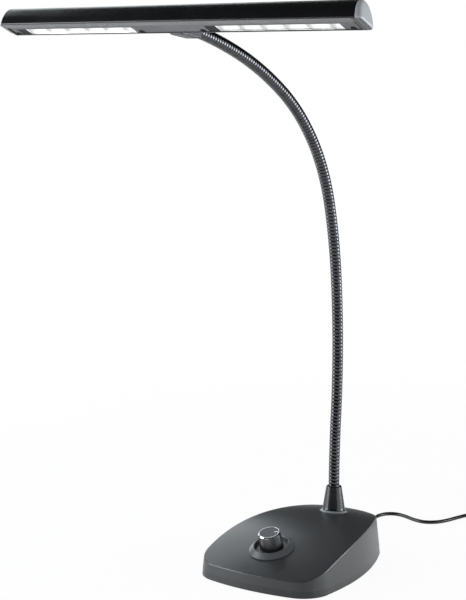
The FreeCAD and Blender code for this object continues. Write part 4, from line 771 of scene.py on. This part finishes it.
def makeCord():
    turns = coilPoints()
    side = cord["coilCentre"][0] - cord["outerTurn"]
    tail = [(side, cord["coilCentre"][1] + cord["tail"] * share, turns[-1][2]) for share in (0.5, 1.0)]
    points = np.concatenate([np.array(cordRoute), turns, np.array(tail)]) * mm
    curve = bpy.data.curves.new("cord_run", "CURVE")
    curve.dimensions = "3D"
    curve.bevel_depth = cord["diameter"] / 2 * mm
    curve.bevel_resolution = 3
    curve.resolution_u = 6
    spline = curve.splines.new("NURBS")
    spline.points.add(len(points) - 1)
    spline.points.foreach_set("co", np.column_stack([points, np.ones(len(points))]).ravel())
    spline.order_u = 3
    spline.use_endpoint_u = True
    item = bpy.data.objects.new("cord_run", curve)
    bpy.context.scene.collection.objects.link(item)
    dress(item, materials["cord"])
    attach(item, "base")
    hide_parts("power_cord", "cord_coil", "cord_tail")


makeCord()
print("cord made")


studio = {
    "floorColour": "f4f4f4", "floorReach": 12.0, "floorLevel": -0.2 * mm,
    # share of plain white that the camera sees on the floor near the lamp, and where it becomes all white
    "floorShare": 0.95, "plainFrom": 0.5, "plainBy": 1.0,
    # the same in reflections, where it fades out like the end of a table
    "mirrorShare": 0.75, "farMirrorShare": 0.0, "tableFrom": 0.6, "tableBy": 1.3,
    "worldLevel": 0.26, "horizon": 0.22, "ceiling": 0.03, "ceilingFrom": 0.16,
    "lampColour": (0.9, 0.965, 1.0),
    "lamps": [
        # name, place, aim, width, height, radiance
        ("rearLeftSoftbox", (-1.68, 0.95, 0.95), (0.0, 0.0, 0.4), 1.4, 1.85, 1.75),
        ("frontLeftSoftbox", (-1.5, -1.1, 0.57), (0.0, 0.0, 0.3), 1.3, 1.08, 8.0),
        ("upperLeftSoftbox", (-0.95, -0.07, 0.98), (0.0, 0.0, 0.0), 0.42, 0.4, 3.2),
        ("rightSoftbox", (1.58, 0.5, 0.5), (0.0, 0.0, 0.25), 2.3, 0.9, 2.6),
        ("rightStrip", (0.66, 0.55, 0.19), (0.0, 0.0, 0.4), 0.36, 0.34, 9.0),
    ],
}


def makeFloor():
    # a wide square just under the feet; the camera sees it mostly as plain white, with the shadow
    corners = studio["floorReach"] * np.array([(-1, -1), (1, -1), (1, 1), (-1, 1)], float)
    points = np.column_stack([corners, np.full(len(corners), studio["floorLevel"])])
    item = meshPiece("floor", points, np.array([[0, 1, 2, 3]]), smooth=False)
    material, tree, surface = startMaterial(
        "paleFloor", {"Base Color": linearColour(studio["floorColour"]), "Roughness": 0.7}
    )
    white = addNode(tree, "ShaderNodeEmission", {"Color": (1.0, 1.0, 1.0, 1.0), "Strength": 1.0})
    path = addNode(tree, "ShaderNodeLightPath")
    # in reflections the floor is bright near the lamp, as a table is, and duller further out
    place = addNode(tree, "ShaderNodeTexCoord")
    away = addNode(tree, "ShaderNodeVectorMath", {"operation": "LENGTH"}, {0: place.outputs["Object"]})
    bright = addNode(
        tree,
        "ShaderNodeMapRange",
        {
            "From Min": studio["tableFrom"], "From Max": studio["tableBy"],
            "To Min": studio["mirrorShare"], "To Max": studio["farMirrorShare"],
        },
        {"Value": away.outputs["Value"]},
    )
    mirror = addNode(
        tree, "ShaderNodeMath", {"operation": "MULTIPLY"},
        {0: path.outputs["Is Glossy Ray"], 1: bright.outputs["Result"]},
    )
    seen = addNode(
        tree, "ShaderNodeMath", {"operation": "MAXIMUM"}, {0: path.outputs["Is Camera Ray"], 1: mirror.outputs[0]}
    )
    seenToo = addNode(
        tree, "ShaderNodeMath", {"operation": "MAXIMUM"}, {0: seen.outputs[0], 1: path.outputs["Is Transmission Ray"]}
    )
    # the shadow is kept round the lamp, and fades to plain white further out
    share = addNode(
        tree,
        "ShaderNodeMapRange",
        {
            "From Min": studio["plainFrom"], "From Max": studio["plainBy"],
            "To Min": studio["floorShare"], "To Max": 1.0,
        },
        {"Value": away.outputs["Value"]},
    )
    both = addNode(
        tree, "ShaderNodeMath", {"operation": "MULTIPLY"}, {0: seenToo.outputs[0], 1: share.outputs["Result"]}
    )
    mix = addNode(
        tree, "ShaderNodeMixShader", links={0: both.outputs[0], 1: surface.outputs["BSDF"], 2: white.outputs[0]}
    )
    output = next(node for node in tree.nodes if node.type == "OUTPUT_MATERIAL")
    tree.links.new(mix.outputs[0], output.inputs["Surface"])
    dress(item, material)


def makeWorld():
    # white for the camera and through glass; in reflections it darkens from the horizon upwards;
    # an even level for all other light
    world = bpy.data.worlds.new("paleStudio")
    world.use_nodes = True
    tree = world.node_tree
    tree.nodes.clear()
    place = addNode(tree, "ShaderNodeTexCoord")
    parts = addNode(tree, "ShaderNodeSeparateXYZ", links={0: place.outputs["Generated"]})
    ramp = addNode(tree, "ShaderNodeValToRGB", links={"Fac": parts.outputs["Z"]})
    stops = zip(ramp.color_ramp.elements, (0.0, studio["ceilingFrom"]), (studio["horizon"], studio["ceiling"]))
    for stop, position, level in stops:
        stop.position = position
        stop.color = (level, level, level, 1.0)
    path = addNode(tree, "ShaderNodeLightPath")
    plain = addNode(tree, "ShaderNodeBackground", {"Color": (1.0, 1.0, 1.0, 1.0), "Strength": studio["worldLevel"]})
    graded = addNode(tree, "ShaderNodeBackground", {"Strength": 1.0}, {"Color": ramp.outputs["Color"]})
    white = addNode(tree, "ShaderNodeBackground", {"Color": (1.0, 1.0, 1.0, 1.0), "Strength": 1.0})
    glossy = addNode(
        tree,
        "ShaderNodeMixShader",
        links={0: path.outputs["Is Glossy Ray"], 1: plain.outputs[0], 2: graded.outputs[0]},
    )
    clear = addNode(
        tree, "ShaderNodeMath", {"operation": "MAXIMUM"},
        {0: path.outputs["Is Camera Ray"], 1: path.outputs["Is Transmission Ray"]},
    )
    mix = addNode(tree, "ShaderNodeMixShader", links={0: clear.outputs[0], 1: glossy.outputs[0], 2: white.outputs[0]})
    addNode(tree, "ShaderNodeOutputWorld", links={"Surface": mix.outputs[0]})
    bpy.context.scene.world = world


def makeLamps():
    for name, place, aim, width, height, radiance in studio["lamps"]:
        data = bpy.data.lights.new(name, "AREA")
        data.shape = "RECTANGLE"
        data.color = studio["lampColour"]
        data.size = width
        data.size_y = height
        data.energy = radiance * math.pi * width * height
        item = bpy.data.objects.new(name, data)
        item.location = place
        toward = Vector(aim) - Vector(place)
        item.rotation_euler = toward.to_track_quat("-Z", "Y").to_euler()
        bpy.context.scene.collection.objects.link(item)


makeFloor()
makeWorld()
makeLamps()
bpy.context.scene.view_settings.view_transform = "Standard"
print("studio made")
